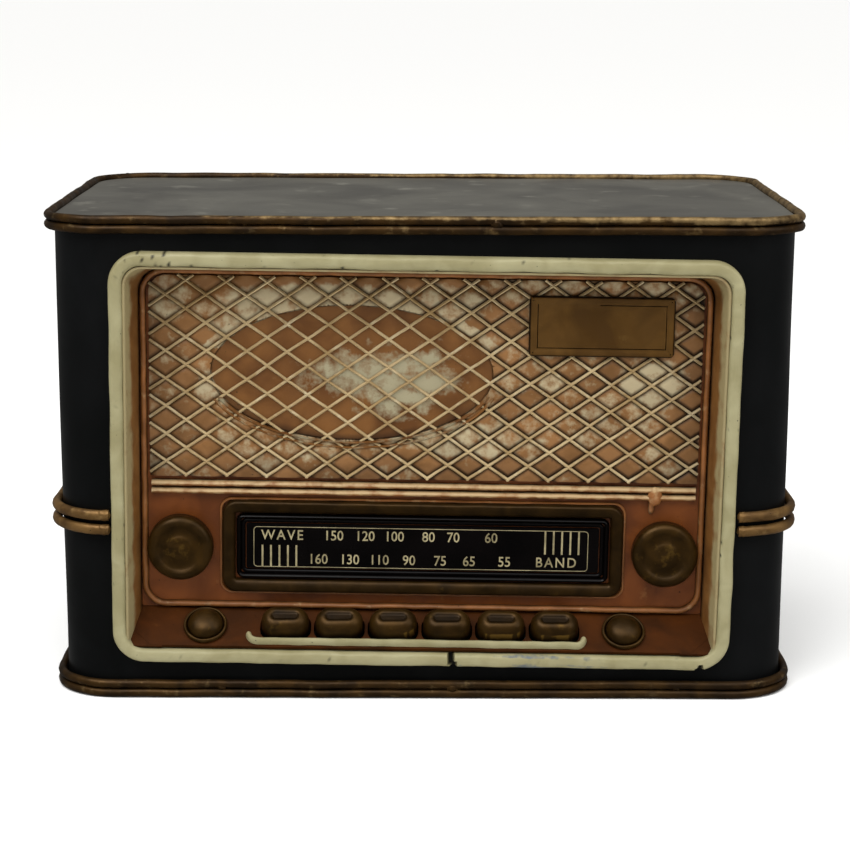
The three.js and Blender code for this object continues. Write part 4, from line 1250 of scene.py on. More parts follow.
@dataclass
class Grille:
    """The pillowed grille, its cast lattice, the oval, the blank plate and the rails under it.

    Attributes:
        pitch_x: width of one diamond.
        pitch_z: height of one diamond.
        crossing: a place where two ribs cross, as x and z.
        steps: mesh steps along a diamond's side.
        rise: height of a pillow.
        floor: height of the groove's foot over the panel's back.
        rib: width and height of a rib.
        shortest_rib: length under which a rib in a corner is left out.
        corner: radius of the panel's top corners.
        arcs: the arcs under the oval, as distance from its rim, width and height.
        arc_from: where they begin, in degrees.
        arc_sweep: how far they run, in degrees.
        worn: patches wiped back to cream, the wide one along the top also painted light: x, z, half width,
            half height, strength.
    """

    pitch_x: float = 13.9
    pitch_z: float = 9.7
    crossing: tuple[float, float] = (-54.3, 134.1)
    steps: int = 12
    rise: float = 1.3
    floor: float = 0.3
    rib: tuple[float, float] = (1.25, 1.65)
    shortest_rib: float = 3.0
    corner: float = 6.3
    arcs: tuple[tuple[float, float, float], ...] = ((0.9, 1.1, 1.9), (2.7, 1.0, 1.7))
    arc_from: float = -68
    arc_sweep: float = 140
    worn: tuple[tuple[float, float, float, float, float], ...] = (
        (-14, 111, 21, 11, 1.0),
        (-36, 138, 34, 5.0, 0.8),
        (4, 138, 16, 6, 0.62),
        (78, 110, 11, 9, 0.85),
        (68, 100, 16, 9, 0.45),
        (-66, 132, 9, 8, 0.6),
        (-90, 138, 9, 8, 0.55),
        (-72, 107, 7, 6, 0.7),
        (14, 90, 26, 6, 0.62),
        (-36, 88, 16, 6, 0.5),
        # painted light: this wide strip lightens the top of the panel, over wiped cream
        (56, 142, 44, 6, 0.5),
        (34, 112, 22, 26, 0.32),
        (-62, 92, 9, 9, 0.4),
    )

    def __post_init__(self) -> None:
        """Reads where the panel and the oval are."""
        self.panel = FRONT.panel("grille_panel", self.corner)
        middle = FRONT.panel("speaker_oval")
        low, high = corners("speaker_oval")
        self.oval = Panel(middle.x, middle.z, (high.x - low.x) / 2, (high.z - low.z) / 2, low.y, high.y)
        dice = Random(7)
        self.tint = [[dice.random() for _ in range(64)] for _ in range(64)]

    def build(self) -> None:
        """Makes every piece of the grille."""
        self.pillows()
        self.lattice()
        self.speaker_oval()
        self.plate()
        for name in ("rail_upper", "rail_lower"):
            self.rail(name)

    def lattice_place(self, x: float, z: float) -> tuple[float, float]:
        """Turns a place on the front into steps along the two families of ribs."""
        across, up = (x - self.crossing[0]) / self.pitch_x, (z - self.crossing[1]) / self.pitch_z
        return across + up, up - across

    def in_oval(self, x: float, z: float, grow: float = 0.0) -> float:
        """How far inside the oval a place is: 1 at its middle, 0 at its rim, less outside."""
        wide, tall = self.oval.half_w + grow, self.oval.half_h + grow
        return 1 - math.hypot((x - self.oval.x) / wide, (z - self.oval.z) / tall)

    def pillow(self, x: float, z: float) -> float:
        """Height of the pillows at a place.

        Args:
            x: the place across.
            z: the place up.

        Returns:
            From 0 in a groove to 1 on a crown.
        """
        u, v = self.lattice_place(x, z)
        edge_u, edge_v = (min(t % 1, 1 - t % 1) for t in (u, v))
        swell = 1.0
        for edge in (edge_u, edge_v):
            swell *= 1 - (1 - min(edge / 0.36, 1)) ** 2.4
        return swell

    def wear(self, place: Vector) -> float:
        """How far a place is wiped back to cream.

        Args:
            place: in millimetres, on the upright front.

        Returns:
            0 to 1.
        """
        u, v = self.lattice_place(place.x, place.z)
        own = self.tint[math.floor(u) % 64][math.floor(v) % 64]
        inside = self.in_oval(place.x, place.z)
        most = 0.5 * own**2 if inside < 0 else 0.0
        if -0.12 < inside < 0 and place.z > self.oval.z + 8:
            most = max(most, 0.75)
        for x, z, half_w, half_h, strength in self.worn:
            reach = math.hypot((place.x - x) / half_w, (place.z - z) / half_h)
            if (inside > 0) == (self.in_oval(x, z) > 0):
                most = max(most, strength * held((1.35 - reach) / 0.5))
        return most * (0.45 + 0.55 * self.pillow(place.x, place.z))

    def shade_and_wash(self, place: Vector) -> float:
        """How dark a place is: dark wash in the grooves with painted shadow under each pillow's lower edge,
        stronger to the right, painted shade towards the panel's sides and foot, and a tint of each pillow's
        own.

        Args:
            place: in millimetres, on the upright front.

        Returns:
            0 to 1.
        """
        inside = self.in_oval(place.x, place.z)
        u, v = self.lattice_place(place.x, place.z)
        gap = self.pitch_x * self.pitch_z / math.hypot(self.pitch_x, self.pitch_z)
        low, high = min(u % 1, v % 1) * gap, min(1 - u % 1, 1 - v % 1) * gap
        groove = max(min(1.0, 1.55 - low / 1.25), 0.75 * min(1.0, 1.5 - high / 1.0), 0.0)
        if inside > 0:
            return 0.16 * groove
        right = held((place.x + 40) / 60)
        own = 0.22 * self.tint[math.floor(v) % 64][math.floor(u) % 64] ** 2
        side = max(0.0, (abs(place.x - self.panel.x) - self.panel.half_w + 14) / 14)
        foot = max(0.0, (self.panel.z - self.panel.half_h + 10 - place.z) / 10)
        return min(1.0, (0.5 + 0.45 * right) * groove + own + 0.3 * side + 0.25 * foot)

    def pillows(self) -> None:
        """The panel of pillows, sunk where the oval lies."""
        panel = self.panel
        bench = Bench()
        reach = math.ceil(panel.half_w / self.pitch_x + panel.half_h / self.pitch_z) + 2
        cells = 2 * reach
        middle_u, middle_v = (round(t) for t in self.lattice_place(panel.x, panel.z))
        skew = Matrix(
            (
                (self.pitch_x / 2, -self.pitch_x / 2, 0, 0),
                (self.pitch_z / 2, self.pitch_z / 2, 0, 0),
                (0, 0, 1, 0),
                (0, 0, 0, 1),
            )
        )
        origin = Vector(
            (
                self.crossing[0] + (middle_u - middle_v) * self.pitch_x / 2,
                self.crossing[1] + (middle_u + middle_v) * self.pitch_z / 2,
                0,
            )
        )
        bmesh.ops.create_grid(
            bench.bm, x_segments=cells * self.steps, y_segments=cells * self.steps, size=reach,
            matrix=Matrix.Translation(origin) @ skew,
        )
        self._trim(bench, 0.1)
        for vert in bench.bm.verts:
            x, z = vert.co.x, vert.co.y
            rim = self.in_oval(x, z, 0.3)
            if abs(rim) < 0.5 / self.oval.half_h:
                scale = 1 / (1 - rim)
                x = self.oval.x + (x - self.oval.x) * scale
                z = self.oval.z + (z - self.oval.z) * scale
                vert.co.x, vert.co.y = x, z
            height = self.floor + self.rise * self.pillow(x, z)
            height += 0.12 * noise.noise(Vector((x, z, 0)) / 3)
            vert.co.z = 0.12 if rim > 0.02 / self.oval.half_h else height
        rim_edges = [e for e in bench.bm.edges if len(e.link_faces) == 1]
        skirt = bmesh.ops.extrude_edge_only(bench.bm, edges=rim_edges)["geom"]
        foot = [g for g in skirt if isinstance(g, bmesh.types.BMVert)]
        for vert in foot:
            vert.co.z = 0
        loop = [g for g in skirt if isinstance(g, bmesh.types.BMEdge) and len(g.link_faces) == 1]
        bmesh.ops.holes_fill(bench.bm, edges=loop, sides=0)
        piece = bench.raw("grille_pillows", FRONT.standing(0, panel.far, 0))
        mark(piece, "worn", self.wear)
        # painted shadow under each pillow and painted shade near the panel's sides and foot, over dark wash
        # in the grooves
        mark(piece, "shade_and_grime", self.shade_and_wash)
        settle(piece, "case", TAN_GLAZE, Slot.OCHRE_PAINT, "grille_panel", sharp=70)

    def _trim(self, bench: Bench, inset: float) -> None:
        """Trims a shape to the panel's outline, in front coordinates, with its top corners cut round.

        Args:
            bench: the bench.
            inset: how far inside the outline.
        """
        panel = self.panel
        half_w, half_h = panel.half_w - inset, panel.half_h - inset
        sides = [((1, 0), half_w), ((-1, 0), half_w), ((0, 1), half_h), ((0, -1), half_h)]
        for side in (-1, 1):
            for degrees in (22.5, 45, 67.5):
                way = (side * math.cos(math.radians(degrees)), math.sin(math.radians(degrees)))
                centre = way[0] * side * (half_w - self.corner) + way[1] * (half_h - self.corner)
                sides.append((way, centre + self.corner))
        for (x, z), distance in sides:
            out = Vector((x, z, 0))
            bmesh.ops.bisect_plane(
                bench.bm, geom=bench.bm.verts[:] + bench.bm.edges[:] + bench.bm.faces[:], dist=1e-4,
                plane_co=Vector((panel.x, panel.z, 0)) + out * distance, plane_no=out, clear_outer=True,
            )

    def lattice(self) -> None:
        """The two families of ribs that cross between the pillows and over the oval."""
        panel = self.panel
        bench = Bench()
        width, height = self.rib
        half_w, half_h = panel.half_w - 0.1, panel.half_h - 0.1
        reach = math.ceil(half_w / self.pitch_x + half_h / self.pitch_z) + 1
        for side in (-1, 1):
            slope = Vector((self.pitch_x, side * self.pitch_z, 0)).normalized()
            middle = round((panel.x - self.crossing[0]) / self.pitch_x)
            for i in range(middle - 2 * reach, middle + 2 * reach):
                x = self.crossing[0] + i * self.pitch_x - panel.x
                through = Vector((x, self.crossing[1] - panel.z, 0))
                start, end = self._span(through, slope, half_w, half_h)
                length = end - start
                if length < self.shortest_rib:
                    continue
                turn = Matrix.Rotation(math.atan2(slope.y, slope.x), 4, "Z")
                rib = Bench()
                section = rib.round_section(width, height, 8, 0, 0, 0, True, True)
                steps = max(2, round(length / 2.2))
                rib.carry(section, Vector((length / steps, 0, 0)), steps)
                bmesh.ops.recalc_face_normals(rib.bm, faces=rib.bm.faces)
                begin = through + slope * start + Vector((panel.x, panel.z, self.floor - 0.15))
                bench.add(rib, Matrix.Translation(begin) @ turn)
        for vert in bench.bm.verts:
            wave = noise.noise_vector(Vector((vert.co.x, vert.co.y, 0)) / 14)
            ripple = noise.noise_vector(Vector((vert.co.x, vert.co.y, 3)) / 2.6)
            vert.co.x += wave.x * 0.3 + ripple.x * 0.1
            vert.co.y += wave.y * 0.3 + ripple.y * 0.1
            if vert.co.z > self.floor:
                vert.co.z += ripple.z * 0.15
        piece = bench.raw("grille_lattice", FRONT.standing(0, panel.far, 0))
        # painted shade at the ribs' feet and near the panel's sides
        mark(piece, "shade_and_grime", self.rib_shade)
        settle(piece, "case", WIPED_RIB, Slot.OCHRE_PAINT, sharp=70)

    def rib_shade(self, place: Vector) -> float:
        """How dark the ribs are: painted shade at their own feet and towards the panel's sides.

        Args:
            place: in millimetres, on the upright front.

        Returns:
            0 to 1.
        """
        low = max(0.0, 1 - (self.panel.far - 0.3 - place.y) / 0.7)
        side = max(0.0, (abs(place.x - self.panel.x) - self.panel.half_w + 16) / 16)
        return min(1.0, 0.9 * low + 0.3 * side)

    def _span(
        self, through: Vector, way: Vector, half_w: float, half_h: float
    ) -> tuple[float, float]:
        """Where a line enters and leaves a rectangle about the origin.

        Args:
            through: a point on the line.
            way: its unit direction.
            half_w: half the rectangle's width.
            half_h: half its height.

        Returns:
            The two distances from the point, the second smaller where the line misses.
        """
        near, far = -1e9, 1e9
        for at, step, half in ((through.x, way.x, half_w), (through.y, way.y, half_h)):
            first, second = sorted(((-half - at) / step, (half - at) / step))
            near, far = max(near, first), min(far, second)
        return near, far

    def speaker_oval(self) -> None:
        """The smooth oval with the double arc under it."""
        oval = self.oval
        bench = Bench()
        profile = [(0, 0), (1, 0), (1, 0.75), (0.985, 0.82), (0.9, 0.7), (0.6, 0.8), (0, 0.85)]
        bench.turn(profile, 96)
        for vert in bench.bm.verts:
            vert.co.x *= oval.half_w
            vert.co.y *= oval.half_h
        for grow, width, height in self.arcs:
            arc = Bench()
            section = arc.round_section(width, height, 8, 0, -1, 0.3, True, True)
            stretch_w, stretch_h = oval.half_w + grow, oval.half_h + grow
            for vert in arc.bm.verts:
                vert.co.y = (vert.co.y + 1) / stretch_h - 1
            arc.bm.transform(Matrix.Rotation(math.radians(self.arc_from), 4, "Z"))
            bmesh.ops.spin(
                arc.bm, geom=section, cent=(0, 0, 0), axis=(0, 0, 1), dvec=(0, 0, 0),
                angle=math.radians(self.arc_sweep), steps=44,
            )
            arc.bm.transform(Matrix.Diagonal((stretch_w, stretch_h, 1, 1)))
            arc.roughen(0.2, 5)
            bmesh.ops.recalc_face_normals(arc.bm, faces=arc.bm.faces)
            bench.add(arc)
        piece = bench.raw("speaker_oval_disc", FRONT.against(oval))
        mark(piece, "worn", self.wear)
        # painted shade in the crease round the oval's rim
        mark(piece, "shade_and_grime", self.oval_rim_shade)
        settle(piece, "case", OVAL_GLAZE, Slot.OCHRE_PAINT, "speaker_oval", sharp=60)

    def oval_rim_shade(self, place: Vector) -> float:
        """How dark the oval is: painted shade in the crease round its rim, deepest along the disc's foot and
        strongest on its lower half.

        Args:
            place: in millimetres, on the upright front.

        Returns:
            0 to 1.
        """
        inside = self.in_oval(place.x, place.z)
        below = max(0.0, (self.oval.z - place.z) / self.oval.half_h)
        low = held(1.6 - (self.oval.far - place.y) / 0.8)
        rim = max(0.0, 1 - abs(inside) / 0.05)
        return min(1.0, rim * (0.35 + 1.2 * below) * max(low, 0.3))

    def plate(self) -> None:
        """The blank plate in the grille's upper corner."""
        panel = FRONT.panel("blank_plate", 1.2)
        depth = panel.far - panel.near
        bench = Bench().block(2 * panel.half_w, 2 * panel.half_h, depth + 0.5, 1.6, 1.1, 4)
        bench.dish(2.6, 0.7, depth + 0.5)
        bench.roughen(0.12, 7)
        piece = bench.raw("blank_plate_dished", FRONT.standing(panel.x, panel.far + 0.5, panel.z))
        mark(piece, "shade_and_grime", lambda p: self.plate_edge(p, panel))
        settle(piece, "case", PALE_GOLD, Slot.UMBER_GOLD, "blank_plate", sharp=50)

    def plate_edge(self, place: Vector, panel: Panel) -> float:
        """Dark paint left round the foot of the plate."""
        gap = min(panel.half_w - abs(place.x - panel.x), panel.half_h - abs(place.z - panel.z))
        return 0.95 if gap < 0.5 else 0.0

    def rail(self, name: str) -> None:
        """One of the two uneven rails between the grille and the dial.

        Args:
            name: its CAD node.
        """
        panel = FRONT.panel(name, 0.9)
        depth = panel.far - panel.near
        bench = Bench()
        section = bench.round_section(2 * panel.half_h, depth, 12, -panel.half_w, 0, 0, True, True)
        bench.carry(section, Vector((2 * panel.half_w / 90, 0, 0)), 90)
        bench.roughen(0.14, 4)
        if name == "rail_upper":
            bench.blob((panel.half_w - 14, -2.2, depth * 0.6), (2.6, 3.4, 1.5))
            bench.blob((panel.half_w - 15, -6.2, 0.5), (1.2, 2.6, 1.0))
        piece = bench.raw(f"{name}_moulded", FRONT.against(panel))
        # painted highlight: the upper half is lighter, over rubbed paint; painted shade darkens the rail
        # towards its foot
        mark(piece, "worn", lambda p: 0.55 if p.z > panel.z - 0.3 else 0.15)
        mark(piece, "shade_and_grime", lambda p: held(1.4 - 2 * (panel.far - p.y) / depth))
        settle(piece, "case", WIPED_COPPER, Slot.COPPER_PAINT, name, sharp=50)


@dataclass
class Dial:
    """The tuning dial: a dark gold frame, a stepped black border and a printed card.

    Attributes:
        band: width of the gold frame.
        border: width of the black border.
        figure_height: height of the figures.
        line: thickness of the printed outline.
        print_half_w: half the width of the printed outline.
        print_half_h: half its height.
        print_x: how far the print sits off the card's middle, across.
        print_z: how far, up.
        figures: the two rows of figures with their middles across, from the dial's middle.
        row_places: heights of the two rows, as shares of the outline's half height.
        bars: the two sets of bars, as first and last place, from the dial's middle.
        bar_w: width of a bar.
        bar_heights: heights of the bars in the two sets.
        lip_gap: how far outside the frame the middle of the thin lip runs.
        words: the two generic words with their middles.
    """

    band: float = 4.6
    border: float = 3.2
    figure_height: float = 3.5
    line: float = 0.24
    print_half_w: float = 58.2
    print_half_h: float = 7.15
    print_x: float = -0.6
    print_z: float = -0.3
    figures: tuple[tuple[tuple[int, float], ...], ...] = (
        ((150, -31.0), (120, -20.1), (100, -9.9), (80, 2.0), (70, 10.6), (60, 23.8)),
        ((160, -36.4), (130, -25.4), (110, -15.1), (90, -4.7), (75, 6.2), (65, 16.3), (55, 28.6)),
    )
    row_places: tuple[float, float] = (0.58, -0.61)
    bars: tuple[tuple[float, float], ...] = ((-55.8, -44.0), (42.7, 54.4))
    bar_w: float = 0.62
    bar_heights: tuple[float, float] = (7.8, 8.4)
    lip_gap: float = 0.35
    words: tuple[tuple[str, float], ...] = (("WAVE", -48.9), ("BAND", 46.6))

    def build(self) -> None:
        """Makes the frame, the border, the card and the print."""
        self.gold_frame()
        self.black_border()
        self.card()
        self.print()

    def gold_frame(self) -> None:
        """The dark gold frame, sloping in to the border, with a thin lip round its foot."""
        panel = FRONT.panel("dial_bezel", 4)
        proud = panel.far - panel.near
        half_w, half_h = panel.half_w - self.band / 2, panel.half_h - self.band / 2
        bench = Bench()
        section = bench.round_section(self.band, proud, 20, 0, -half_h, 0, True, False, 0.6)
        for vert in (g for g in section if isinstance(g, bmesh.types.BMVert)):
            vert.co.z *= 0.85 - 0.3 * (vert.co.y + half_h) / self.band
        bench.sweep(section, half_w, half_h, 4 - self.band / 2 + 1.2, stride=4)
        bench.roughen(0.12, 7)
        piece = bench.raw("dial_gold_frame", FRONT.against(panel))
        mark(piece, "shade_and_grime", lambda p: 0.35)
        settle(piece, "case", ANTIQUE_GOLD, Slot.UMBER_GOLD, "dial_bezel", sharp=50)
        lip = Bench()
        section = lip.round_section(1.0, 0.9, 10, 0, -panel.half_h - self.lip_gap, 0, True, False)
        lip.sweep(section, panel.half_w + self.lip_gap, panel.half_h + self.lip_gap, 4.0, stride=4)
        lip.roughen(0.18, 5)
        trim = lip.raw("dial_lip", FRONT.against(panel))
        settle(trim, "case", WIPED_COPPER, Slot.COPPER_PAINT, sharp=50)

    def black_border(self) -> None:
        """The black border in two steps."""
        panel = FRONT.panel("dial_frame", 1.6)
        proud = panel.far - panel.near
        bench = Bench()
        for share, height, inset in ((0.55, proud, 0.0), (0.5, proud * 0.55, 0.5)):
            width = self.border * share
            shift = self.border * inset
            half_w, half_h = panel.half_w - shift - width / 2, panel.half_h - shift - width / 2
            ring = Bench()
            section = ring.round_section(width, height, 12, 0, -half_h, 0, True, False)
            ring.sweep(section, half_w, half_h, 1.6, stride=10, arc=5)
            bmesh.ops.recalc_face_normals(ring.bm, faces=ring.bm.faces)
            bench.add(ring)
        piece = bench.raw("dial_black_border", FRONT.against(panel))
        settle(piece, "case", DIAL_LACQUER, Slot.GLOSS_BLACK, "dial_frame", sharp=50)

    def card(self) -> None:
        """The lacquered card."""
        panel = FRONT.panel("dial_card", 0.6)
        bench = Bench().block(2 * panel.half_w, 2 * panel.half_h, panel.far - panel.near, 0.6, 0.15, 2)
        piece = bench.raw("dial_card_lacquered", FRONT.against(panel))
        settle(piece, "case", DIAL_LACQUER, Slot.GLOSS_BLACK, "dial_card")

    def print(self) -> None:
        """The printed outline, bars, figures and the first letter of each word, raised a hair over the card.
        """
        panel = FRONT.panel("dial_card", 0.6)
        bench = Bench()
        half_w, half_h = self.print_half_w, self.print_half_h
        section = bench.round_section(self.line, 0.12, 4, 0, -half_h, 0, False, False)
        bench.sweep(section, half_w, half_h, 1.2, stride=40, arc=4)
        for (first, last), tall, side in zip(self.bars, self.bar_heights, (-1, 1)):
            middle = side * (half_h - tall / 2)
            for i in range(5):
                x = first + (last - first) * i / 4 - self.print_x
                place = Matrix.Translation((x, middle, 0.02))
                bar = Bench()
                size = Matrix.Diagonal((self.bar_w, tall, 0.12, 1))
                bmesh.ops.create_cube(bar.bm, size=1, matrix=place @ size)
                bench.add(bar)
        rows = [share * half_h for share in self.row_places]
        for row, word, z in zip(self.figures, self.words, rows):
            for number, x in row:
                figure = self._text(str(number), 1.0)
                bench.add(figure, Matrix.Translation((x - self.print_x, z, 0)))
            bench.add(self._text(word[0], 1.25), Matrix.Translation((word[1] - self.print_x, z, 0)))
        place = FRONT.standing(panel.x + self.print_x, panel.near - 0.06, panel.z + self.print_z)
        piece = bench.raw("dial_print", place)
        settle(piece, "case", DIAL_PRINT, Slot.CREAM_PAINT)

    def _text(self, words: str, wide: float) -> Bench:
        """Raised lettering about the origin, in the XY plane.

        Args:
            words: what it says.
            wide: how much wider than plain it is set.

        Returns:
            The lettering on a bench of its own.
        """
        curve = bpy.data.curves.new(words, "FONT")
        curve.body = words
        curve.align_x, curve.align_y = "CENTER", "CENTER"
        curve.size = self.figure_height / 0.7
        curve.extrude = 0.05
        curve.offset = 0.03 * self.figure_height / 3
        curve.space_character = wide
        curve.resolution_u = 3
        carrier = bpy.data.objects.new(words, curve)
        bpy.context.scene.collection.objects.link(carrier)
        mesh = bpy.data.meshes.new_from_object(carrier.evaluated_get(bpy.context.evaluated_depsgraph_get()))
        bench = Bench()
        bench.bm.from_mesh(mesh)
        bmesh.ops.remove_doubles(bench.bm, verts=bench.bm.verts, dist=1e-4)
        bench.bm.transform(Matrix.Diagonal((0.92, 1, 1, 1)))
        bpy.data.objects.remove(carrier)
        bpy.data.curves.remove(curve)
        bpy.data.meshes.remove(mesh)
        return bench


# ---------- knobs, keys and buttons ----------


@dataclass
class Controls:
    """The two knobs, the six keys and the two buttons, with their collars and the lip under the keys.

    Attributes:
        key_width: width of a key.
        key_depth: depth of a key up the slope.
        key_rise: how far a key stands out of the ledge.
        key_corner: radius of a key's corners.
        key_edge: radius of its top edge.
        key_taper: how much narrower its top is than its foot, as a share.
        key_foot: where its cap begins, under the ledge.
        stem: side of a key's stem.
        stem_length: length of a key's stem under the ledge.
        button_radius: radius of a button.
        button_rise: height of a button.
        lip_thick: thickness of the lip under the keys.
        lip_rise: height of the lip.
        lip_gap: gap between the keys and the lip.
        lip_bend: radius of its turned-up ends.
        chipped: the keys with chips in their paint.
    """

    key_width: float = 17.0
    key_depth: float = 9.6
    key_rise: float = 7.0
    key_corner: float = 4.9
    key_edge: float = 3.1
    key_taper: float = 0.07
    key_foot: float = -2.5
    stem: float = 4.0
    stem_length: float = 11.5
    button_radius: float = 6.1
    button_rise: float = 4.6
    lip_thick: float = 2.2
    lip_rise: float = 2.4
    lip_gap: float = 0.7
    lip_bend: float = 3.2
    chipped: tuple[int, ...] = (3, 5, 6)

    def build(self) -> None:
        """Makes every control."""
        for side in ("left", "right"):
            self.knob(side)
            self.button(side)
            self.collar(side)
        for i in range(1, 7):
            self.key(i)
        self.lip()

    def knob(self, side: str) -> None:
        """A turned knob: a rounded rim, a shallow dish and a low dome in its middle.

        Args:
            side: "left" or "right".
        """
        node = f"{side}_knob"
        panel = FRONT.panel(node)
        low, high = corners(node)
        radius = (high.x - low.x) / 2
        height = panel.far - panel.near
        rim = [
            (radius - 2.6 + 2.6 * math.cos(a), height - 2.2 + 2.2 * math.sin(a))
            for a in angles(0, 100, 12)
        ]
        face = [
            (radius * (1 - t), height - 0.1 - 1.15 * math.sin(math.pi * min(1, (t - 0.22) / 0.5)) ** 1.2)
            for t in (0.32, 0.42, 0.52, 0.62, 0.7)
        ]
        dome = [(radius * r, height - 0.1 - 0.5 * (r / 0.25) ** 2) for r in (0.22, 0.15, 0.08)]
        foot = [(0, 0), (radius * 0.94, 0), (radius, 0.8)]
        bench = Bench().turn([*foot, *rim, *face, *dome, (0, height - 0.1)], 64)
        bench.roughen(0.12, 6)
        piece = bench.raw(f"{node}_turned", FRONT.against(panel))
        # painted shade: the knob darkens towards its foot
        mark(piece, "shade_and_grime", lambda p: 0.75 * max(0.0, 1 - (panel.far - p.y) / 2.6))
        mark(piece, "worn", lambda p: 0.3 * max(0.0, 1.3 - math.hypot(p.x - panel.x, p.z - panel.z) / 5))
        settle(piece, node, ANTIQUE_GOLD, Slot.UMBER_GOLD, node, sharp=50)

    def _stem(self, bench: Bench) -> None:
        """Adds the square stem under a key or button.

        Args:
            bench: the bench with the key or button.
        """
        place = Matrix.Translation((0, 0, self.key_foot - self.stem_length / 2))
        size = Matrix.Diagonal((self.stem, self.stem, self.stem_length, 1))
        post = Bench()
        bmesh.ops.create_cube(post.bm, size=1, matrix=place @ size)
        bench.add(post)

    def key(self, number: int) -> None:
        """A loaf-shaped key with a shallow dish in its top.

        Args:
            number: 1 to 6 from the left.
        """
        node = f"key_{number}"
        rise = self.key_rise - self.key_foot
        cap = Bench().block(self.key_width, self.key_depth + 0.7, rise, self.key_corner, self.key_edge, 7)
        cap.dish(1.2, 0.6, rise)
        for vert in cap.bm.verts:
            taper = 1 - self.key_taper * (vert.co.z / rise) ** 2
            vert.co.x *= taper
            vert.co.y *= taper
        cap.roughen(0.2, 5 + number * 0.7)
        bmesh.ops.translate(cap.bm, verts=cap.bm.verts, vec=(0, 0, self.key_foot))
        self._stem(cap)
        x = FRONT.along_ledge(node)
        piece = cap.raw(f"{node}_cap", FRONT.on_ledge(x))
        out = FRONT.ledge.inverted() @ FRONT.crooked
        mark(piece, "shade_and_grime", lambda p: self.key_shade(out @ p, x))
        mark(piece, "worn", lambda p: self.key_chips(out @ p, number))
        settle(piece, node, ANTIQUE_GOLD, Slot.UMBER_GOLD, node, sharp=50)

    def key_shade(self, place: Vector, x: float) -> float:
        """How dark a key is: at its foot and in the dish of its top.

        Args:
            place: in millimetres, on the ledge.
            x: the key's middle along the ledge.

        Returns:
            0 to 1.
        """
        foot = 0.8 * max(0.0, 1 - place.z / 2.2)
        dish = math.hypot((place.x - x) / (self.key_width / 2), place.y / (self.key_depth / 2))
        top = 0.7 * held((0.62 - dish) / 0.1) if place.z > self.key_rise - 1.6 else 0.0
        return max(foot, top)

    def key_chips(self, place: Vector, number: int) -> float:
        """Chips low on the fronts of the keys that were knocked.

        Args:
            place: in millimetres, on the ledge.
            number: the key's number.

        Returns:
            1 in a chip, otherwise 0.
        """
        low = place.y < -self.key_depth * 0.3 and place.z < self.key_rise * 0.6
        spot = noise.noise(Vector((place.x / 1.4, place.z / 1.1, number)))
        return 1.0 if number in self.chipped and low and spot > 0.22 else 0.0

    def button(self, side: str) -> None:
        """A domed button.

        Args:
            side: "left" or "right".
        """
        node = f"{side}_button"
        radius, rise = self.button_radius, self.button_rise
        dome = [
            (radius * math.cos(a) ** 0.8, rise * 0.25 + rise * 0.75 * math.sin(a))
            for a in angles(0, 90, 9)
        ]
        bench = Bench().turn([(0, self.key_foot), (radius, self.key_foot), *dome, (0, rise)], 48)
        bench.roughen(0.1, 4)
        self._stem(bench)
        piece = bench.raw(f"{node}_dome", FRONT.on_ledge(FRONT.along_ledge(node)))
        settle(piece, node, ANTIQUE_GOLD, Slot.UMBER_GOLD, node, sharp=50)

    def collar(self, side: str) -> None:
        """The rolled collar round a button.

        Args:
            side: "left" or "right".
        """
        node = f"{side}_button_collar"
        inner, outer = self.button_radius + 0.35, self.button_radius + 1.5
        ring = [
            ((inner + outer) / 2 + (outer - inner) / 2 * math.cos(a), 0.8 + 0.8 * math.sin(a))
            for a in angles(0, 361, 30)
        ]
        bench = Bench().turn(ring, 48)
        bench.roughen(0.12, 4)
        piece = bench.raw(f"{node}_rolled", FRONT.on_ledge(FRONT.along_ledge(node)))
        settle(piece, "case", ANTIQUE_GOLD, Slot.UMBER_GOLD, node, sharp=50)

    def lip(self) -> None:
        """The cream lip under the keys, with both ends turned up."""
        low, high = corners("key_lip")
        middle = FRONT.along_ledge("key_lip")
        half = (high.x - low.x) / 2 - self.lip_thick / 2
        y = -self.key_depth / 2 - self.lip_gap - self.lip_thick / 2
        bench = Bench()
        section = bench.round_section(self.lip_thick, self.lip_rise, 12, 0, y, 0, True, False)
        run = half - self.lip_bend
        right = bench.carry(section, Vector((run / 26, 0, 0)), 26)
        right = bmesh.ops.spin(
            bench.bm, geom=right, cent=(run, y + self.lip_bend, 0), axis=(0, 0, 1), dvec=(0, 0, 0),
            angle=math.radians(80), steps=8,
        )["geom_last"]
        bmesh.ops.contextual_create(bench.bm, geom=[g for g in right if isinstance(g, bmesh.types.BMEdge)])
        whole = bench.bm.verts[:] + bench.bm.edges[:] + bench.bm.faces[:]
        bmesh.ops.mirror(bench.bm, geom=whole, axis="X", merge_dist=1e-3)
        bench.roughen(0.2, 5)
        piece = bench.raw("key_lip_moulded", FRONT.on_ledge(middle, 0, 0.1))
        settle(piece, "case", CREAM_ENAMEL, Slot.CREAM_PAINT, "key_lip", sharp=50)


# ---------- the back ----------


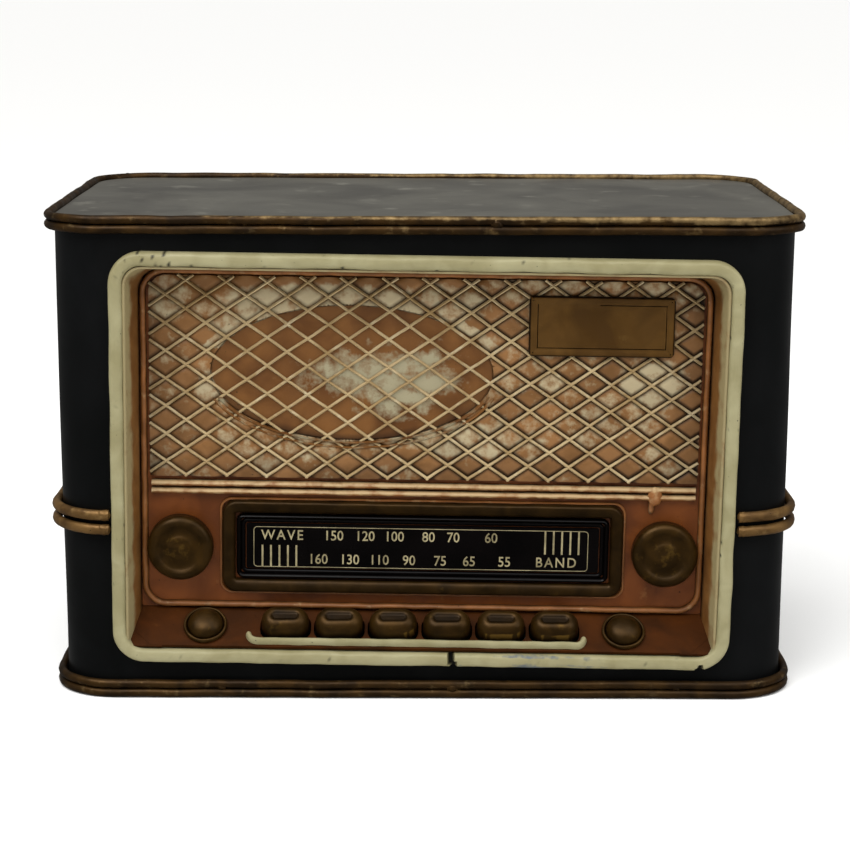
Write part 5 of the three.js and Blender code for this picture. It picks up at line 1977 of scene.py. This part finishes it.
@dataclass
class Back:
    """The winding key and the screws of the back cover.

    Attributes:
        wing: outer radius of each wing.
        eye: radius of each wing's eye.
        thick: thickness of the wings.
        head: height of a screw's head.
    """

    wing: float = 7.4
    eye: float = 3.6
    thick: float = 2.4
    head: float = 1.4

    def build(self) -> None:
        """Makes the key and the screws."""
        self.winding_key()
        for i in range(1, 5):
            self.screw(i)

    def winding_key(self) -> None:
        """A butterfly key: two pierced wings on a turned shank."""
        low, high = corners("winding_key")
        middle = (low + high) / 2
        bench = Bench()
        half = self.thick / 2
        for side in (-1, 1):
            band = (self.wing - self.eye) / 2
            ring = [
                ((self.wing + self.eye) / 2 + band * math.cos(a), half * math.sin(a))
                for a in angles(0, 361, 30)
            ]
            loop = Bench().turn(ring, 40)
            bmesh.ops.recalc_face_normals(loop.bm, faces=loop.bm.faces)
            bench.add(loop, Matrix.Translation((side * self.wing, 0, 0)))
        reach = high.y - low.y - self.wing
        foot = [(0, 0), (3.4, 0), (3.6, 0.4)]
        neck = [(3.6, reach - 6), (2.6, reach - 3), (2.2, reach + 3), (0, reach + 3)]
        shank = Bench().turn([*foot, *neck], 32)
        back = Matrix.Rotation(-math.pi / 2, 4, "X")
        wings = Matrix.Translation((0, reach, 0))
        whole = Bench().add(shank, back).add(bench, wings)
        piece = whole.raw("winding_key_wings", Matrix.Translation((middle.x, low.y, middle.z)))
        settle(piece, "winding", PLAIN_BRASS, Slot.BRASS, "winding_key", sharp=50)

    def screw(self, number: int) -> None:
        """A domed screw with a slot.

        Args:
            number: 1 to 4.
        """
        node = f"back_screw_{number}"
        low, high = corners(node)
        radius = (high.x - low.x) / 2
        head = self.head
        dome = [
            (radius * math.cos(a), head * 0.3 + head * 0.7 * math.sin(a))
            for a in angles(0, 90, 15)
        ]
        shank = high.y - low.y - head
        profile = [(0, -shank), (1.4, -shank), (1.4, 0), (radius, 0), *dome, (0, head)]
        bench = Bench().turn(profile, 28)
        back = Matrix.Rotation(-math.pi / 2, 4, "X")
        middle = (low + high) / 2
        place = Matrix.Translation((middle.x, high.y - head, middle.z)) @ back
        piece = bench.raw(f"{node}_slotted", place)
        slot = Bench()
        turned = Matrix.Rotation(0.6 * number, 4, "Z") @ Matrix.Translation((0, 0, head))
        size = Matrix.Diagonal((3 * radius, 0.8, 1.1, 1))
        bmesh.ops.create_cube(slot.bm, size=1, matrix=turned @ size)
        cut(piece, slot.raw("slot", place))
        settle(piece, "case", PLAIN_STEEL, Slot.STEEL, node, sharp=40)


# ---------- what stays as it is ----------


KEPT: dict[Finish, tuple[str, ...]] = {
    BLACK_ENAMEL: ("base_panel", "back_panel"),
    COPPER_WASH: ("fascia_panel",),
    SHADED_COPPER: ("key_ledge",),
    PLAIN_STEEL: (
        "key_guide", "key_springs", "comb", "comb_screw_1", "comb_screw_2", "left_knob_shaft",
        "right_knob_shaft", "winding_arbor", "cylinder_axle", "mainspring", "second_axle", "fly_axle",
        "stop_lever",
    ),
    PLAIN_BRASS: (
        "movement_frame", "music_cylinder", "cylinder_wheel", "barrel", "second_wheel", "fly_vanes",
    ),
}


def dress_kept() -> None:
    """Gives every CAD node that stays in view its own finish."""
    for finish, nodes in KEPT.items():
        for name in nodes:
            PAINTS.coat(frame["nodes"][name], finish)
            log.info("%s keeps its shape in %s", name, finish.name)


# ---------- the stage ----------


@dataclass
class Stage:
    """A pale floor, soft lights and the camera.

    Attributes:
        floor_size: side of the floor, in metres.
        sky_power: strength of the light from above.
        sky_spread: its angle, in degrees.
        lens: focal length, in millimetres.
        camera_at: where the camera stands, in metres.
        camera_tilt: its tilt from straight down, in degrees.
        camera_turn: its turn about the upright, in degrees.
        camera_roll: its roll, in degrees.
    """

    floor_size: float = 60.0
    sky_power: float = 2.45
    sky_spread: float = 70.0
    lens: float = 92.64
    camera_at: tuple[float, float, float] = (0.00002, -0.79846, 0.25287)
    camera_tilt: float = 77.89
    camera_turn: float = -0.02
    camera_roll: float = 0.19

    def build(self) -> None:
        """Sets up the whole stage."""
        self.floor()
        self.world()
        self.sky_light()
        self.light("key_light", (-0.55, -0.75, 1.25), 0.9, 11)
        self.light("fill_light", (0.9, -0.6, 0.8), 0.9, 5)
        self.camera()

    def floor(self) -> None:
        """The floor that the object stands on."""
        bench = Bench()
        bmesh.ops.create_grid(bench.bm, x_segments=1, y_segments=1, size=self.floor_size / MM / 2)
        floor = bench.raw("floor", Matrix())
        material = bpy.data.materials.new("pale_floor")
        material.use_nodes = True
        shader = material.node_tree.nodes["Principled BSDF"]
        shader.inputs["Base Color"].default_value = linear("#f8f8f7")
        shader.inputs["Roughness"].default_value = 0.9
        floor.data.materials.append(material)
        floor.visible_glossy = False

    def world(self) -> None:
        """Even, soft light from all round, dimmer where it would only be mirrored, white to look at."""
        world = bpy.data.worlds.new("studio")
        world.use_nodes = True
        tree = world.node_tree
        background = tree.nodes["Background"]
        background.inputs["Color"].default_value = linear("#f6f5f2")
        ray = add_node(tree, "ShaderNodeLightPath")
        dimmed = {0: ray.outputs["Is Glossy Ray"], 1: 0.0, 2: 1.0, 3: 0.4, 4: 0.16}
        dim = add_node(tree, "ShaderNodeMapRange", dimmed).outputs[0]
        seen = {0: dim, 1: ray.outputs["Is Camera Ray"]}
        strength = add_node(tree, "ShaderNodeMath", seen, operation="MAXIMUM")
        tree.links.new(strength.outputs[0], background.inputs["Strength"])
        bpy.context.scene.world = world

    def sky_light(self) -> None:
        """A very soft light from high above, the same over the whole floor."""
        lamp = bpy.data.lights.new("sky_light", "SUN")
        lamp.energy = self.sky_power
        lamp.angle = math.radians(self.sky_spread)
        holder = bpy.data.objects.new("sky_light", lamp)
        bpy.context.scene.collection.objects.link(holder)
        holder.rotation_euler = (math.radians(20), math.radians(-6), 0)

    def light(self, name: str, at: tuple[float, float, float], size: float, power: float) -> None:
        """A soft square light that faces the object.

        Args:
            name: its name.
            at: where it stands, in metres.
            size: its side, in metres.
            power: in watts.
        """
        lamp = bpy.data.lights.new(name, "AREA")
        lamp.shape = "SQUARE"
        lamp.size = size
        lamp.energy = power
        holder = bpy.data.objects.new(name, lamp)
        bpy.context.scene.collection.objects.link(holder)
        holder.location = at
        aim = Vector((0, 0, 0.08)) - Vector(at)
        holder.rotation_euler = aim.to_track_quat("-Z", "Y").to_euler()

    def camera(self) -> None:
        """The camera, a little above the object and square to its front."""
        lens = bpy.data.cameras.new("camera")
        lens.lens = self.lens
        lens.sensor_width = 36
        holder = bpy.data.objects.new("camera", lens)
        bpy.context.scene.collection.objects.link(holder)
        turn = Matrix.Rotation(math.radians(self.camera_turn), 4, "Z")
        tilt = Matrix.Rotation(math.radians(self.camera_tilt), 4, "X")
        roll = Matrix.Rotation(math.radians(self.camera_roll), 4, "Z")
        holder.matrix_world = Matrix.Translation(self.camera_at) @ turn @ tilt @ roll
        bpy.context.scene.camera = holder


def main() -> None:
    """Builds the music box piece by piece, then its stage."""
    logging.basicConfig(level=logging.INFO, format="%(message)s")
    noise.seed_set(NOISE_SEED)
    dress_kept()
    for part in (Case(), Bezel(), Grille(), Dial(), Controls(), Back()):
        log.info("building %s", type(part).__name__.lower())
        part.build()
    Stage().build()
    bpy.context.scene.view_settings.view_transform = "Standard"


if __name__ == "__main__":
    main()
